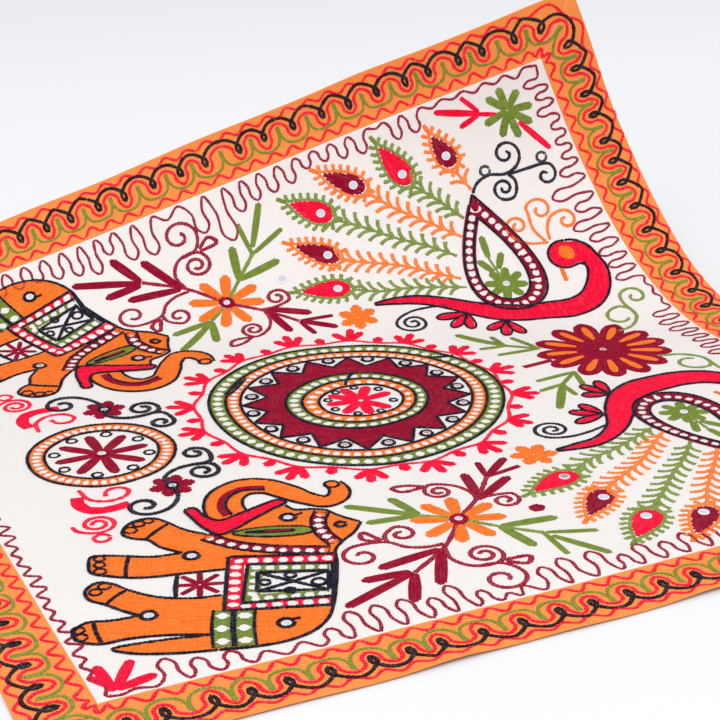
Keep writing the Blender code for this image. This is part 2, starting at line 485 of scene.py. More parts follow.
@dataclass(frozen=True)
class ThreadFinish:
    """Soft twisted cotton, worked in chain stitch."""

    thread: Thread
    ground: Ground
    # how dark the painted shade and how pale the painted highlight on the loops are
    painted_shade_and_tone_depth: float = 0.70
    painted_highlight_paleness: float = 0.07
    strand_turns: float = 3.0
    relief: float = 0.00022

    def material(self) -> bpy.types.Material:
        """Makes the material; it reads the stitch map, where x runs across a loop and y along it. The strands' crests
        carry a painted highlight and the loops' low sides a painted shade.
        """
        colour = THREAD_COLOURS[self.thread]
        # deep is painted shade on the loops' low sides, mixed with the random tone; pale is a painted highlight on the
        # crests
        deep = tuple(part * self.painted_shade_and_tone_depth for part in colour)
        pale = tuple(part + (1.0 - part) * self.painted_highlight_paleness for part in colour)
        bench = NodeBench(f"{self.thread.value}_on_{self.ground.value}")
        maths, span = bench.maths, bench.span
        _, across, along = bench.flat_place("stitch")
        off_middle = maths("ABSOLUTE", maths("SUBTRACT", across, 0.5))
        crest = span(maths("ABSOLUTE", maths("SUBTRACT", off_middle, 0.26)), 0.0, 0.24, 1.0, 0.0)
        slant = maths("MULTIPLY_ADD", off_middle, 4.0, maths("MULTIPLY", along, self.strand_turns))
        strand = maths("MULTIPLY_ADD", maths("SINE", maths("MULTIPLY", slant, math.tau)), 0.5, 0.5)
        tone, opened = (bench.node("Attribute", "Fac", {}, attribute_name=name) for name in ("tone", "opened"))
        # painted light: crests lighter and sides darker, with the random tone and the strands' twist
        light = maths("ADD", maths("MULTIPLY", crest, 0.42), maths("MULTIPLY", tone, 0.50))
        light = maths("MULTIPLY_ADD", strand, 0.20, light, clamp=True)
        body = bench.mix(span(light, 0.75, 1.1), bench.mix(light, deep, colour), pale)
        # the round opening of a loop, where the ground shows
        eye_x = maths("POWER", maths("DIVIDE", off_middle, 0.12), 2.0)
        eye_y = maths("POWER", maths("DIVIDE", maths("SUBTRACT", along, 0.64), 0.13), 2.0)
        eye = maths("MULTIPLY", span(maths("ADD", eye_x, eye_y), 0.6, 1.5, 1.0, 0.0), opened)
        bench.dress(Base_Color=bench.mix(eye, body, GROUND_COLOURS[self.ground]),
                    Roughness=span(strand, 0.0, 1.0, 0.72, 0.58), Specular_IOR_Level=0.07)
        bench.bump(maths("MULTIPLY_ADD", strand, 0.6, maths("MULTIPLY", crest, 0.4)), self.relief, 0.8)
        return bench.material


@dataclass(frozen=True)
class WeaveFinish:
    """Plain-woven cotton, read from the cloth's flat map in metres."""

    name: str
    colour: Colour
    yarn_pitch: float = 0.00062
    slub: float = 0.10
    slub_scales: Point = (60.0, 2600.0)
    # how dark the painted shade in the yarns' hollows, the slubs and the unevenness make the colour
    painted_shade_and_tone_depth: float = 0.55
    relief: float = 0.00012

    def material(self) -> bpy.types.Material:
        """Makes the material: warp and weft that pass over each other, slubs and a soft unevenness; the hollows between
        the yarns are darkened as painted shade.
        """
        bench = NodeBench(self.name)
        maths, span = bench.maths, bench.span
        place, *ways = bench.flat_place("flat")
        turns = math.pi / self.yarn_pitch
        warp, weft = (maths("ABSOLUTE", maths("SINE", maths("MULTIPLY", way, turns))) for way in ways)
        counts = [maths("FLOOR", maths("DIVIDE", way, self.yarn_pitch)) for way in ways]
        over = maths("FLOORED_MODULO", maths("ADD", *counts), 2.0)
        height = bench.node("Mix", 0, {0: over, 2: warp, 3: weft}, data_type="FLOAT")
        streaks = [self.streak(bench, place, (*scales, 1.0)) for scales in (self.slub_scales, self.slub_scales[::-1])]
        slubs = maths("MULTIPLY", maths("ADD", *streaks), 0.5)
        # painted shade where the yarns dip under each other, plus the slubs and the soft unevenness
        painted_shade_and_slub_tone = maths("ADD", span(height, 0.0, 1.0, 0.10, 0.0), span(slubs, 0.35, 0.65, self.slub, 0.0))
        painted_shade_and_slub_tone = maths("ADD", painted_shade_and_slub_tone, span(bench.noise(place, 9.0, 3.0), 0.3, 0.7, 0.05, 0.0), clamp=True)
        deep = tuple(part * self.painted_shade_and_tone_depth for part in self.colour)
        bench.dress(Base_Color=bench.mix(painted_shade_and_slub_tone, self.colour, deep), Roughness=span(height, 0.0, 1.0, 0.95, 0.82),
                    Specular_IOR_Level=0.08)
        bench.bump(maths("MULTIPLY_ADD", slubs, 0.8, height), self.relief, 0.7)
        return bench.material

    def streak(self, bench: NodeBench, place: Socket, scale: Mark) -> Socket:
        """Returns noise that is drawn out along one yarn direction."""
        return bench.noise(bench.node("Mapping", 0, {"Vector": place, "Scale": scale}), 1.0)


@dataclass(frozen=True)
class MirrorFinish:
    """Small silvered glass with a pale rim that is a painted glint, and worn stain spots, read from the disc map, where
    x is the share of the radius.
    """

    silver: Colour = (0.66, 0.69, 0.78)
    # pale colour of the rim: a painted glint on the mirror's edge
    painted_glint_rim_colour: Colour = (0.80, 0.73, 0.75)
    stain: Colour = (0.46, 0.40, 0.42)

    def material(self) -> bpy.types.Material:
        """Makes the material."""
        bench = NodeBench("silvered_glass")
        from_middle = bench.flat_place("disc")[1]
        wear_and_glint_noise = bench.noise(bench.node("TexCoord", "Object", {}), 900.0, 3.0)
        # the pale, matt rim is a painted glint; the noise also places the stain spots and the bump
        rim = bench.span(bench.maths("MULTIPLY_ADD", wear_and_glint_noise, 0.25, from_middle), 0.86, 1.06)
        spots = bench.maths("MULTIPLY", bench.span(wear_and_glint_noise, 0.60, 0.72), 0.30)
        bench.dress(Base_Color=bench.mix(spots, bench.mix(rim, self.silver, self.painted_glint_rim_colour), self.stain),
                    Metallic=bench.span(rim, 0.0, 1.0, 0.85, 0.0), Roughness=bench.span(rim, 0.0, 1.0, 0.16, 0.6))
        bench.bump(wear_and_glint_noise, 0.00004, 0.4)
        return bench.material


class StitchKind(Enum):
    """The forms that are stamped along a line."""

    LOOP = "loop"
    PLAIN_LOOP = "plain loop"
    BED = "bed"


@dataclass(frozen=True)
class Stamp:
    """One small closed form: its points (along, across, up), its triangles and which of them lie below."""

    points: Array
    triangles: Array
    below: Array
    overlap: float


def stamp_from(mesh: bmesh.types.BMesh, overlap: float) -> Stamp:
    """Turns a closed small mesh into a stamp.

    Args:
        mesh: The mesh; it is freed.
        overlap: Share of its length that lies under the stamp before it.

    Returns:
        The stamp.
    """
    bmesh.ops.recalc_face_normals(mesh, faces=mesh.faces[:])
    bmesh.ops.triangulate(mesh, faces=mesh.faces[:])
    mesh.verts.index_update()
    mesh.normal_update()
    points = np.array([vert.co[:] for vert in mesh.verts])
    triangles = np.array([[vert.index for vert in face.verts] for face in mesh.faces])
    below = np.array([face.normal.z < -0.3 for face in mesh.faces])
    mesh.free()
    return Stamp(points, triangles, below, overlap)


def make_loop_stamp(grooved: bool) -> Stamp:
    """Makes the chain-stitch loop, pinched at its start, wide and high before its end.

    Args:
        grooved: Whether a groove runs between its two strands.

    Returns:
        The stamp.
    """
    mesh = bmesh.new()
    bmesh.ops.create_grid(mesh, x_segments=3, y_segments=4 if grooved else 2, size=0.5)
    columns = {-0.5: (0.0, 0.0, 0.0), 0.5: (1.0, 0.0, 0.35)}
    for start in columns:
        ends = [vert for vert in mesh.verts if abs(vert.co.x - start) < 1e-4]
        bmesh.ops.pointmerge(mesh, verts=ends, merge_co=(start, 0.0, 0.0))
    for vert in mesh.verts:
        if abs(abs(vert.co.x) - 0.5) < 1e-4:
            vert.co = Vector(columns[0.5 if vert.co.x > 0.0 else -0.5])
            vert.co.z *= 0.6
            continue
        belly = vert.co.x > 0.0
        width = 1.0 if belly else 0.88
        side = abs(vert.co.y)
        height = (0.55 if grooved else 1.0, 1.0, 0.0)[0 if side < 0.1 else 1 if side < 0.4 else 2]
        vert.co.x = 0.91 if belly else 0.45
        vert.co.y *= width * (1.12 if side < 0.4 else 1.0)
        vert.co.z = height * (1.0 if belly else 0.78)
    rim = [edge for edge in mesh.edges if edge.is_boundary]
    bmesh.ops.contextual_create(mesh, geom=rim)
    return stamp_from(mesh, overlap=0.6)


def make_bed_stamp() -> Stamp:
    """Makes the flat bed that lies under a row of a filled shape."""
    mesh = bmesh.new()
    bmesh.ops.create_cube(mesh, size=1.0, matrix=Matrix.Translation((0.5, 0.0, 0.5)))
    return stamp_from(mesh, overlap=0.0)


STAMPS: Dict[StitchKind, Stamp] = {
    StitchKind.LOOP: make_loop_stamp(True), StitchKind.PLAIN_LOOP: make_loop_stamp(False),
    StitchKind.BED: make_bed_stamp()}


@dataclass
class Run:
    """The stamped points of some lines of one thread."""

    kind: StitchKind
    flat: Array
    tone: Array
    opened: float


@dataclass
class Needle:
    """Works the lines and filled shapes of one sub-assembly, and makes one piece of each thread.

    Args:
        name: Start of the pieces' names.
        origin: Where the sub-assembly's own zero lies on the panel.
        ground: The cloth it is worked on.
        seed: Seed of the hand's unevenness.
    """

    name: str
    origin: Point = DESIGN_ORIGIN
    ground: Ground = Ground.CREAM
    seed: int = 1
    loop_length: float = 3.9
    loop_height: float = 1.0
    row_spacing: float = 2.2
    window_spacing: float = 1.9
    unevenness: float = 0.07
    row_height: float = 0.8
    bed_height: float = 0.45
    longest_bed: float = 12.0
    half: Half = Half.FAR
    half_shift: Point = (0.0, 0.0)
    far_set: Optional[Callable[[Array], Array]] = None
    runs: Dict[Thread, List[Run]] = field(default_factory=dict)

    def __post_init__(self) -> None:
        """Starts the hand's unevenness."""
        self.random = np.random.default_rng(self.seed)

    def place(self, path: Array) -> Array:
        """Puts a path of the far half where it lies on the panel, mirrored for the near half."""
        placed = np.array(path, dtype=float)
        if self.half is Half.NEAR:
            placed[:, 1] *= -1.0
            placed += self.half_shift
        elif self.far_set:
            placed = self.far_set(placed)
        return placed + self.origin

    def stamp_along(self, thread: Thread, kind: StitchKind, path: Array, length: float, width: float,
                    base: float, height: float, opened: float) -> None:
        """Stamps a form along a line, bent with it.

        Args:
            thread: The thread.
            kind: The form.
            path: (n, 2) line, already placed.
            length: Rough length of one stamp.
            width: Width of the line.
            base: Height of its foot above the cloth's underside.
            height: Its own height.
            opened: 1 where the ground shows through its loops, else 0.
        """
        path = path[np.concatenate(([True], steps(path) > 1e-4))]
        if len(path) < 2:
            return
        reach, tangent = reach_along(path), directions(path)
        total = reach[-1]
        count = max(1, int(round(total / length)))
        stamp = STAMPS[kind]
        later = (np.arange(count) > 0)[:, None]
        starts = np.arange(count)[:, None] - stamp.overlap * later
        spread = np.where(later, 1.0 + stamp.overlap, 1.0)
        distance = np.clip((starts + stamp.points[None, :, 0] * spread) * (total / count), 0.0, total)
        uneven = 1.0 + self.unevenness * self.random.standard_normal((count, 1)).clip(-2.0, 2.0)
        if kind is StitchKind.BED:
            # a bed ends short of its row, and is even
            distance = np.clip(distance, 1.1, max(total - 1.3, 1.2))
            uneven = np.ones((count, 1))
        x, y, lean_x, lean_y = (np.interp(distance, reach, values) for values in (*path.T, *tangent.T))
        size = np.hypot(lean_x, lean_y) + TINY
        side = stamp.points[None, :, 1] * width * uneven
        up = base + stamp.points[None, :, 2] * height * uneven
        flat = np.stack((x - lean_y / size * side, y + lean_x / size * side, up), axis=2)
        tone = np.repeat(self.random.random(count), len(stamp.points))
        self.runs.setdefault(thread, []).append(Run(kind, flat.reshape(-1, 3), tone, opened))

    def line(self, thread: Thread, path: Array, width: float = 3.4, lift: float = 0.0, opened: float = 1.0) -> None:
        """Works a line of chain stitch.

        Args:
            thread: The thread.
            path: (n, 2) line.
            width: Width of the line.
            lift: How far above the cloth it starts.
            opened: How far the ground shows through its loops.
        """
        self.stamp_along(thread, StitchKind.LOOP, self.place(path), self.loop_length, width,
                         CLOTH_TOP - SUNK + lift, self.loop_height, opened)

    def edge(self, path: Array, width: float, lift: float) -> None:
        """Works a black line of closed loops that edges a filled shape."""
        self.line(Thread.BLACK, path, width, lift, opened=0.0)

    def row(self, thread: Thread, placed: Array, width: float, lift: float) -> None:
        """Works one row of a filled shape on its bed.

        Args:
            thread: The thread.
            placed: (n, 2) line, already placed.
            width: Distance to the next row.
            lift: How far above the cloth it starts.
        """
        foot = CLOTH_TOP - SUNK + lift
        ways = np.unwrap(np.arctan2(*np.diff(placed, axis=0).T[::-1]))
        turning = float(np.abs(np.diff(ways)).sum())
        bed = min(self.longest_bed, 0.6 * steps(placed).sum() / max(turning, 0.05))
        self.stamp_along(thread, StitchKind.BED, placed, bed, width * 1.12, foot, self.bed_height, 0.0)
        self.stamp_along(thread, StitchKind.PLAIN_LOOP, placed, self.loop_length, width * 1.2, foot + SUNK,
                         self.row_height, 0.0)

    def fill(self, thread: Thread, outline: Array, angle: float = 0.0, holes: Sequence[Array] = (),
             lift: float = 0.0) -> None:
        """Fills a closed outline with straight rows.

        Args:
            thread: The thread.
            outline: (n, 2) closed outline.
            angle: Direction of the rows in degrees.
            holes: Closed outlines that stay open.
            lift: How far above the cloth it starts.
        """
        spacing = self.row_spacing
        shape, *gaps = [turned(np.asarray(part, dtype=float), -angle) for part in (outline, *holes)]
        for y, left, right in rows_across(shape, gaps, spacing, 0.4 * spacing):
            x = np.linspace(left, right, max(2, int((right - left) / 12.0) + 2))
            wave = 0.25 * np.sin(x / 17.0 + y)
            self.row(thread, self.place(turned(np.column_stack((x, y + wave)), angle)), spacing, lift)

    def fill_round(self, thread: Thread, centre: Point, shapes: Sequence[Array], middle: float,
                   wobble: "Wobble") -> None:
        """Fills shapes that are drawn unrolled round a centre, with rows that run round it.

        Args:
            thread: The thread.
            centre: The centre.
            shapes: Closed outlines; x is the angle in radians times the middle radius, y the radius.
            middle: The middle radius.
            wobble: The hand's unevenness of circles.
        """
        spacing = self.row_spacing if len(shapes) == 1 else self.window_spacing
        for radius, left, right in rows_across(shapes[0], shapes[1:], spacing, 0.3 * spacing):
            count = max(3, int((right - left) / 6.0) + 2)
            left = left - 1.2 if left < 1.0 else left
            right = right + 1.2 if right > math.tau * middle - 1.0 else right
            angles = np.linspace(left, right, count) / middle
            self.row(thread, self.place(wobble.circle(centre, radius, angles)), spacing, 0.0)

    def blade(self, thread: Thread, base: Point, tip: Point, width: float, bend: float = 0.0,
              belly: float = 0.55, blunt: float = 0.45, lift: float = 0.0) -> None:
        """Fills a petal or leaf with rows that follow its sides.

        Args:
            thread: The thread.
            base: Where it starts.
            tip: Where it ends.
            width: Its greatest width.
            bend: How far its middle is bowed to the left.
            belly: Where along it the greatest width lies, from 0 to 1.
            blunt: Share of the greatest width at which the rounded ends begin.
            lift: How far above the cloth it starts.
        """
        axis = axis_between(base, tip, bend)
        length = steps(axis).sum()
        t = np.linspace(0.0, 1.0, len(axis))
        swell = np.where(t < belly, t / belly, (1.0 - t) / (1.0 - belly))
        ends = np.where(t < belly, min(blunt, 0.45), blunt)
        profile = ends + (1.0 - ends) * np.sin(0.5 * math.pi * swell)
        count = max(1, int(round(width / self.row_spacing)))
        for index in range(count):
            share = (index + 0.5) / count * 2.0 - 1.0
            outer = min(1.0, abs(share) + 0.5 / count)
            cut = (0.6 + 0.75 * width * blunt * (1.0 - math.sqrt(1.0 - outer * outer))) / length
            inner = np.linspace(0.4 * min(cut, 0.4), 1.0 - min(cut, 0.4), len(axis))
            side = offset_line(axis, share * 0.5 * width * profile)
            side = np.column_stack([np.interp(inner, t, side[:, part]) for part in (0, 1)])
            self.row(thread, self.place(side), width / count, lift)

    def petals(self, thread: Thread, centre: Point, angles: Sequence[float], start: float, end: float, width: float,
               **form: float) -> None:
        """Works petals round a centre.

        Args:
            thread: The thread.
            centre: The centre.
            angles: Their directions in degrees.
            start: Radius at which they start.
            end: Radius at which they end.
            width: Their greatest width.
            form: What else a blade takes.
        """
        for angle in angles:
            self.blade(thread, on_circle(centre, start, angle), on_circle(centre, end, angle), width, **form)

    def curls(self, thread: Thread, table: Sequence[CurlRow], width: float, core: float = 0.22, lift: float = 0.0,
              opened: float = 0.15) -> None:
        """Works the stems of a table that end in spirals, with their open cores."""
        for stem, x, y, radius, turns in table:
            self.line(thread, curl(stem, (x, y), radius, turns, core), width, lift, opened)

    def strap(self, thread: Thread, path: Array, width: float, dot: float, pitch: float, lift: float = 0.0,
              edged: bool = False) -> None:
        """Fills a strip with rows that run along it, with round windows left open.

        Args:
            thread: The thread.
            path: (n, 2) middle line.
            width: Its width.
            dot: Radius of the windows, or 0 for none.
            pitch: Distance between windows.
            lift: How far above the cloth it starts.
            edged: Whether black lines run along both sides.
        """
        dots = along_line(path, pitch)[0]
        marks = np.linspace(0, 1, max(8, int(steps(path).sum() / 1.1)))
        line = np.column_stack([np.interp(marks, np.linspace(0, 1, len(path)), path[:, axis]) for axis in (0, 1)])
        count = max(1, int(round(width / (self.window_spacing if dot else self.row_spacing))))
        spacing = width / count
        for index in range(count):
            aside = (index + 0.5) * spacing - 0.5 * width
            track = offset_line(line, aside)
            if not dot:
                self.row(thread, self.place(track), spacing, lift)
                continue
            reach = dot * math.sqrt(max(0.0, 1.0 - (aside / (1.3 * dot)) ** 2))
            gaps = np.linalg.norm(track[:, None, :] - dots[None, :, :], axis=2).min(axis=1)
            closed = gaps * gaps - aside * aside > reach * reach
            for part in np.split(np.arange(len(track)), np.flatnonzero(np.diff(closed)) + 1):
                if len(part) > 2 and closed[part[0]]:
                    self.row(thread, self.place(track[part]), spacing, lift)
        for side in (-0.5, 0.5) if edged else ():
            self.edge(offset_line(line, side * width), 3.0, lift + 0.45)

    def ring(self, thread: Thread, centre: Point, radius: float, width: float = 2.4, lift: float = 0.0,
             opened: float = 0.0) -> None:
        """Works a small ring."""
        self.line(thread, arc(centre, radius, step=1.0), width, lift, opened)

    def disc(self, thread: Thread, centre: Point, radius: float, lift: float = 0.0) -> None:
        """Fills a small round spot."""
        self.fill(thread, arc(centre, radius, step=1.0), 20.0, lift=lift)

    def finish(self) -> Pieces:
        """Lays all stitches on the cloth.

        Returns:
            One piece for each thread.
        """
        pieces: Pieces = []
        for thread, runs in self.runs.items():
            name = f"{self.name}_{thread.value}"
            flat = np.vstack([run.flat for run in runs])
            triangles, maps, below = [], [], []
            first = 0
            for run in runs:
                stamp = STAMPS[run.kind]
                count = len(run.flat) // len(stamp.points)
                shifts = first + np.arange(count)[:, None, None] * len(stamp.points)
                triangles.append((stamp.triangles[None] + shifts).reshape(-1, 3))
                below.append(np.tile(stamp.below, count))
                maps.append(np.tile(np.column_stack((stamp.points[:, 1] + 0.5, stamp.points[:, 0])), (count, 1)))
                first += len(run.flat)
            corners = np.vstack(triangles).astype(np.int32)
            mesh = bpy.data.meshes.new(name)
            mesh.vertices.add(len(flat))
            mesh.vertices.foreach_set("co", CLOTH.lay(flat).astype(np.float32).ravel())
            mesh.loops.add(corners.size)
            mesh.loops.foreach_set("vertex_index", corners.ravel())
            mesh.polygons.add(len(corners))
            mesh.polygons.foreach_set("loop_start", np.arange(0, corners.size, 3, dtype=np.int32))
            mesh.update(calc_edges=True)
            layer = mesh.uv_layers.new(name="stitch")
            layer.uv.foreach_set("vector", np.vstack(maps)[corners.ravel()].astype(np.float32).ravel())
            flatness = mesh.attributes.new("sharp_face", "BOOLEAN", "FACE")
            flatness.data.foreach_set("value", np.concatenate(below))
            for key, values in (("tone", [run.tone for run in runs]),
                                ("opened", [np.full(len(run.flat), run.opened) for run in runs])):
                values = np.concatenate(values).astype(np.float32)
                mesh.attributes.new(key, "FLOAT", "POINT").data.foreach_set("value", values)
            mesh.validate()
            pieces.append(add_piece(name, mesh, thread_material(thread, self.ground)))
            LOG.info("%s: %d triangles", name, len(corners))
        return pieces


MATERIALS: Dict[str, bpy.types.Material] = {}


def thread_material(thread: Thread, ground: Ground) -> bpy.types.Material:
    """Returns the thread's material on a ground, made once."""
    key = f"{thread.value}_{ground.value}"
    if key not in MATERIALS:
        MATERIALS[key] = ThreadFinish(thread, ground).material()
    return MATERIALS[key]


def add_piece(name: str, mesh: bpy.types.Mesh, material: bpy.types.Material) -> bpy.types.Object:
    """Adds a piece that rides on the tapestry.

    Args:
        name: Its name.
        mesh: Its mesh, in place.
        material: Its material.

    Returns:
        The piece.
    """
    piece = bpy.data.objects.new(name, mesh)
    bpy.context.scene.collection.objects.link(piece)
    mesh.materials.append(material)
    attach(piece, BODY)
    return piece


@dataclass(frozen=True)
class Wobble:
    """The hand's unevenness of drawn circles: three lobes on the outer ones, and an oval slip to one side inside."""

    lobes: float = 2.7
    oval: float = 2.2
    slip: Point = (8.0, -7.0)
    lobed_from: float = 70.0
    lobed_at: float = 120.0

    def circle(self, centre: Point, radius: float, angles: Optional[Array] = None) -> Array:
        """Draws an uneven circle.

        Args:
            centre: Its middle.
            radius: Its radius.
            angles: The angles in radians, or none for the whole circle.

        Returns:
            (n, 2) array.
        """
        if angles is None:
            angles = np.linspace(0.0, math.tau, max(24, int(radius * 4.0)) + 1)
        far = min(1.0, max(0.0, (radius - self.lobed_from) / (self.lobed_at - self.lobed_from)))
        near = max(0.0, 1.0 - radius / self.lobed_from)
        reach = (radius + self.lobes * far * np.sin(3.0 * angles + 1.25)
                 + self.oval * (1.0 - far) * np.cos(2.0 * angles) + 0.3 * np.sin(7.0 * angles + 2.0))
        return round_points((centre[0] + self.slip[0] * near, centre[1] + self.slip[1] * near), reach, angles)


def windowed_ring(radii: Mark, count: int, half_along: float, half_out: float) -> List[Array]:
    """Draws a ring unrolled, with its oval windows.

    Args:
        radii: Inner, middle and outer radius.
        count: Number of windows.
        half_along: Half width of a window along the ring.
        half_out: Half width of a window across the ring.

    Returns:
        The closed outlines of the ring and of each window.
    """
    inner, middle, outer = radii
    t = np.linspace(0.0, math.tau, 13)
    run = math.tau * middle
    return [np.array(((0.0, inner), (run, inner), (run, outer), (0.0, outer), (0.0, inner)))] + [
        np.column_stack(((index + 0.5) * (run / count) + half_along * np.cos(t), middle + half_out * np.sin(t)))
        for index in range(count)]


@dataclass
class ClothSheets:
    """The cream panel and the four orange border strips."""

    cell: float = 9.0
    thickness: float = 1.4
    seam_ridge: float = 0.6
    hem_ridge: float = 0.35
    mitre_dip: float = 0.7
    rounding: float = 0.45

    def make_panel(self) -> bpy.types.Object:
        """Makes the panel."""
        mesh = bmesh.new()
        cells = int(2.0 * CLOTH.half_height / self.cell)
        bmesh.ops.create_grid(mesh, x_segments=cells, y_segments=cells, size=1.0)
        share = np.array([vert.co[:2] for vert in mesh.verts])
        x = share[:, 0] * (CLOTH.half_width + CLOTH.seam_bow(False) * np.cos(0.5 * math.pi * share[:, 1]))
        y = share[:, 1] * (CLOTH.half_height + CLOTH.seam_bow(True) * np.cos(0.5 * math.pi * share[:, 0]))
        flat = np.column_stack((x, y, np.full(len(x), CLOTH_TOP)))
        piece = self.finish("panel_cloth", mesh, flat, WeaveFinish("cream_cotton", CREAM), "cream_cotton")
        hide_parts("panel")
        return piece

    def make_border(self, side: int, name: str) -> bpy.types.Object:
        """Makes one border strip with mitred ends.

        Args:
            side: 0 for the far one, then counter-clockwise.
            name: Its node's name.

        Returns:
            The strip.
        """
        end_side = side % 2 == 0
        half_along = CLOTH.half_width if end_side else CLOTH.half_height
        half_across = CLOTH.half_height if end_side else CLOTH.half_width
        width = CLOTH.border_ends if end_side else CLOTH.border_sides
        end_width = CLOTH.border_sides if end_side else CLOTH.border_ends
        mesh = bmesh.new()
        bmesh.ops.create_grid(mesh, x_segments=int(2.0 * half_along / self.cell), y_segments=7, size=1.0)
        for axis, places in ((1, (-0.97, -0.92, 0.92, 0.97)), (0, (-0.9985, -0.995, 0.995, 0.9985))):
            normal = Vector((0.0, 0.0, 0.0))
            normal[axis] = 1.0
            for place in places:
                bmesh.ops.bisect_plane(mesh, geom=mesh.verts[:] + mesh.edges[:] + mesh.faces[:], dist=1e-6,
                                       plane_co=normal * place, plane_no=normal)
        share = np.array([vert.co[:2] for vert in mesh.verts])
        outwards = 0.5 * (share[:, 1] + 1.0)
        bend = np.cos(0.5 * math.pi * share[:, 0])
        inner = half_across + CLOTH.seam_bow(end_side) * bend
        outer = half_across + width + CLOTH.hem_bow(end_side) * bend + CLOTH.hem_wander(share[:, 0])
        along = share[:, 0] * (half_along + outwards * end_width)
        across = inner + outwards * (outer - inner)
        from_seam = outwards * width
        from_hem = (1.0 - outwards) * width
        from_mitre = (1.0 - np.abs(share[:, 0])) * half_along
        height = (CLOTH_TOP + self.seam_ridge * np.exp(-(from_seam / 3.5) ** 2)
                  + self.hem_ridge * np.exp(-(from_hem / 6.0) ** 2) - self.mitre_dip * np.exp(-(from_mitre / 1.4) ** 2))
        flat = np.column_stack((turned(np.column_stack((along, across)), 90.0 * side), height))
        piece = self.finish(f"{name}_cloth", mesh, flat, WeaveFinish("orange_cotton", BORDER_ORANGE),
                            "orange_cotton")
        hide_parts(name)
        return piece

    def finish(self, name: str, mesh: bmesh.types.BMesh, flat: Array, weave: WeaveFinish, slot: str
               ) -> bpy.types.Object:
        """Lays a flat sheet and gives it its map, thickness and rounded edge.

        Args:
            name: The piece's name.
            mesh: The flat mesh; it is freed.
            flat: The flat places of its points and their heights, in millimetres.
            weave: Its finish.
            slot: The record's material slot; not used.

        Returns:
            The sheet.
        """
        places = CLOTH.lay(flat)
        layer = mesh.loops.layers.uv.new("flat")
        mesh.verts.index_update()
        for face in mesh.faces:
            for loop in face.loops:
                loop[layer].uv = flat[loop.vert.index, :2] * MM
        for vert, place in zip(mesh.verts, places):
            vert.co = place
        bmesh.ops.recalc_face_normals(mesh, faces=mesh.faces[:])
        mesh.normal_update()
        if sum(face.normal.z for face in mesh.faces) < 0.0:
            bmesh.ops.reverse_faces(mesh, faces=mesh.faces[:])
        data = bpy.data.meshes.new(name)
        mesh.to_mesh(data)
        mesh.free()
        data.shade_smooth()
        key = weave.name
        if key not in MATERIALS:
            MATERIALS[key] = weave.material()
        piece = add_piece(name, data, MATERIALS[key])
        body = piece.modifiers.new("cloth_thickness", "SOLIDIFY")
        body.thickness = self.thickness * MM
        body.offset = -1.0
        rounding = piece.modifiers.new("rounded_edge", "BEVEL")
        rounding.width = self.rounding * MM
        rounding.segments = 2
        rounding.limit_method = "ANGLE"
        rounding.angle_limit = math.radians(60.0)
        LOG.info("%s: %d cells", name, len(data.polygons))
        return piece


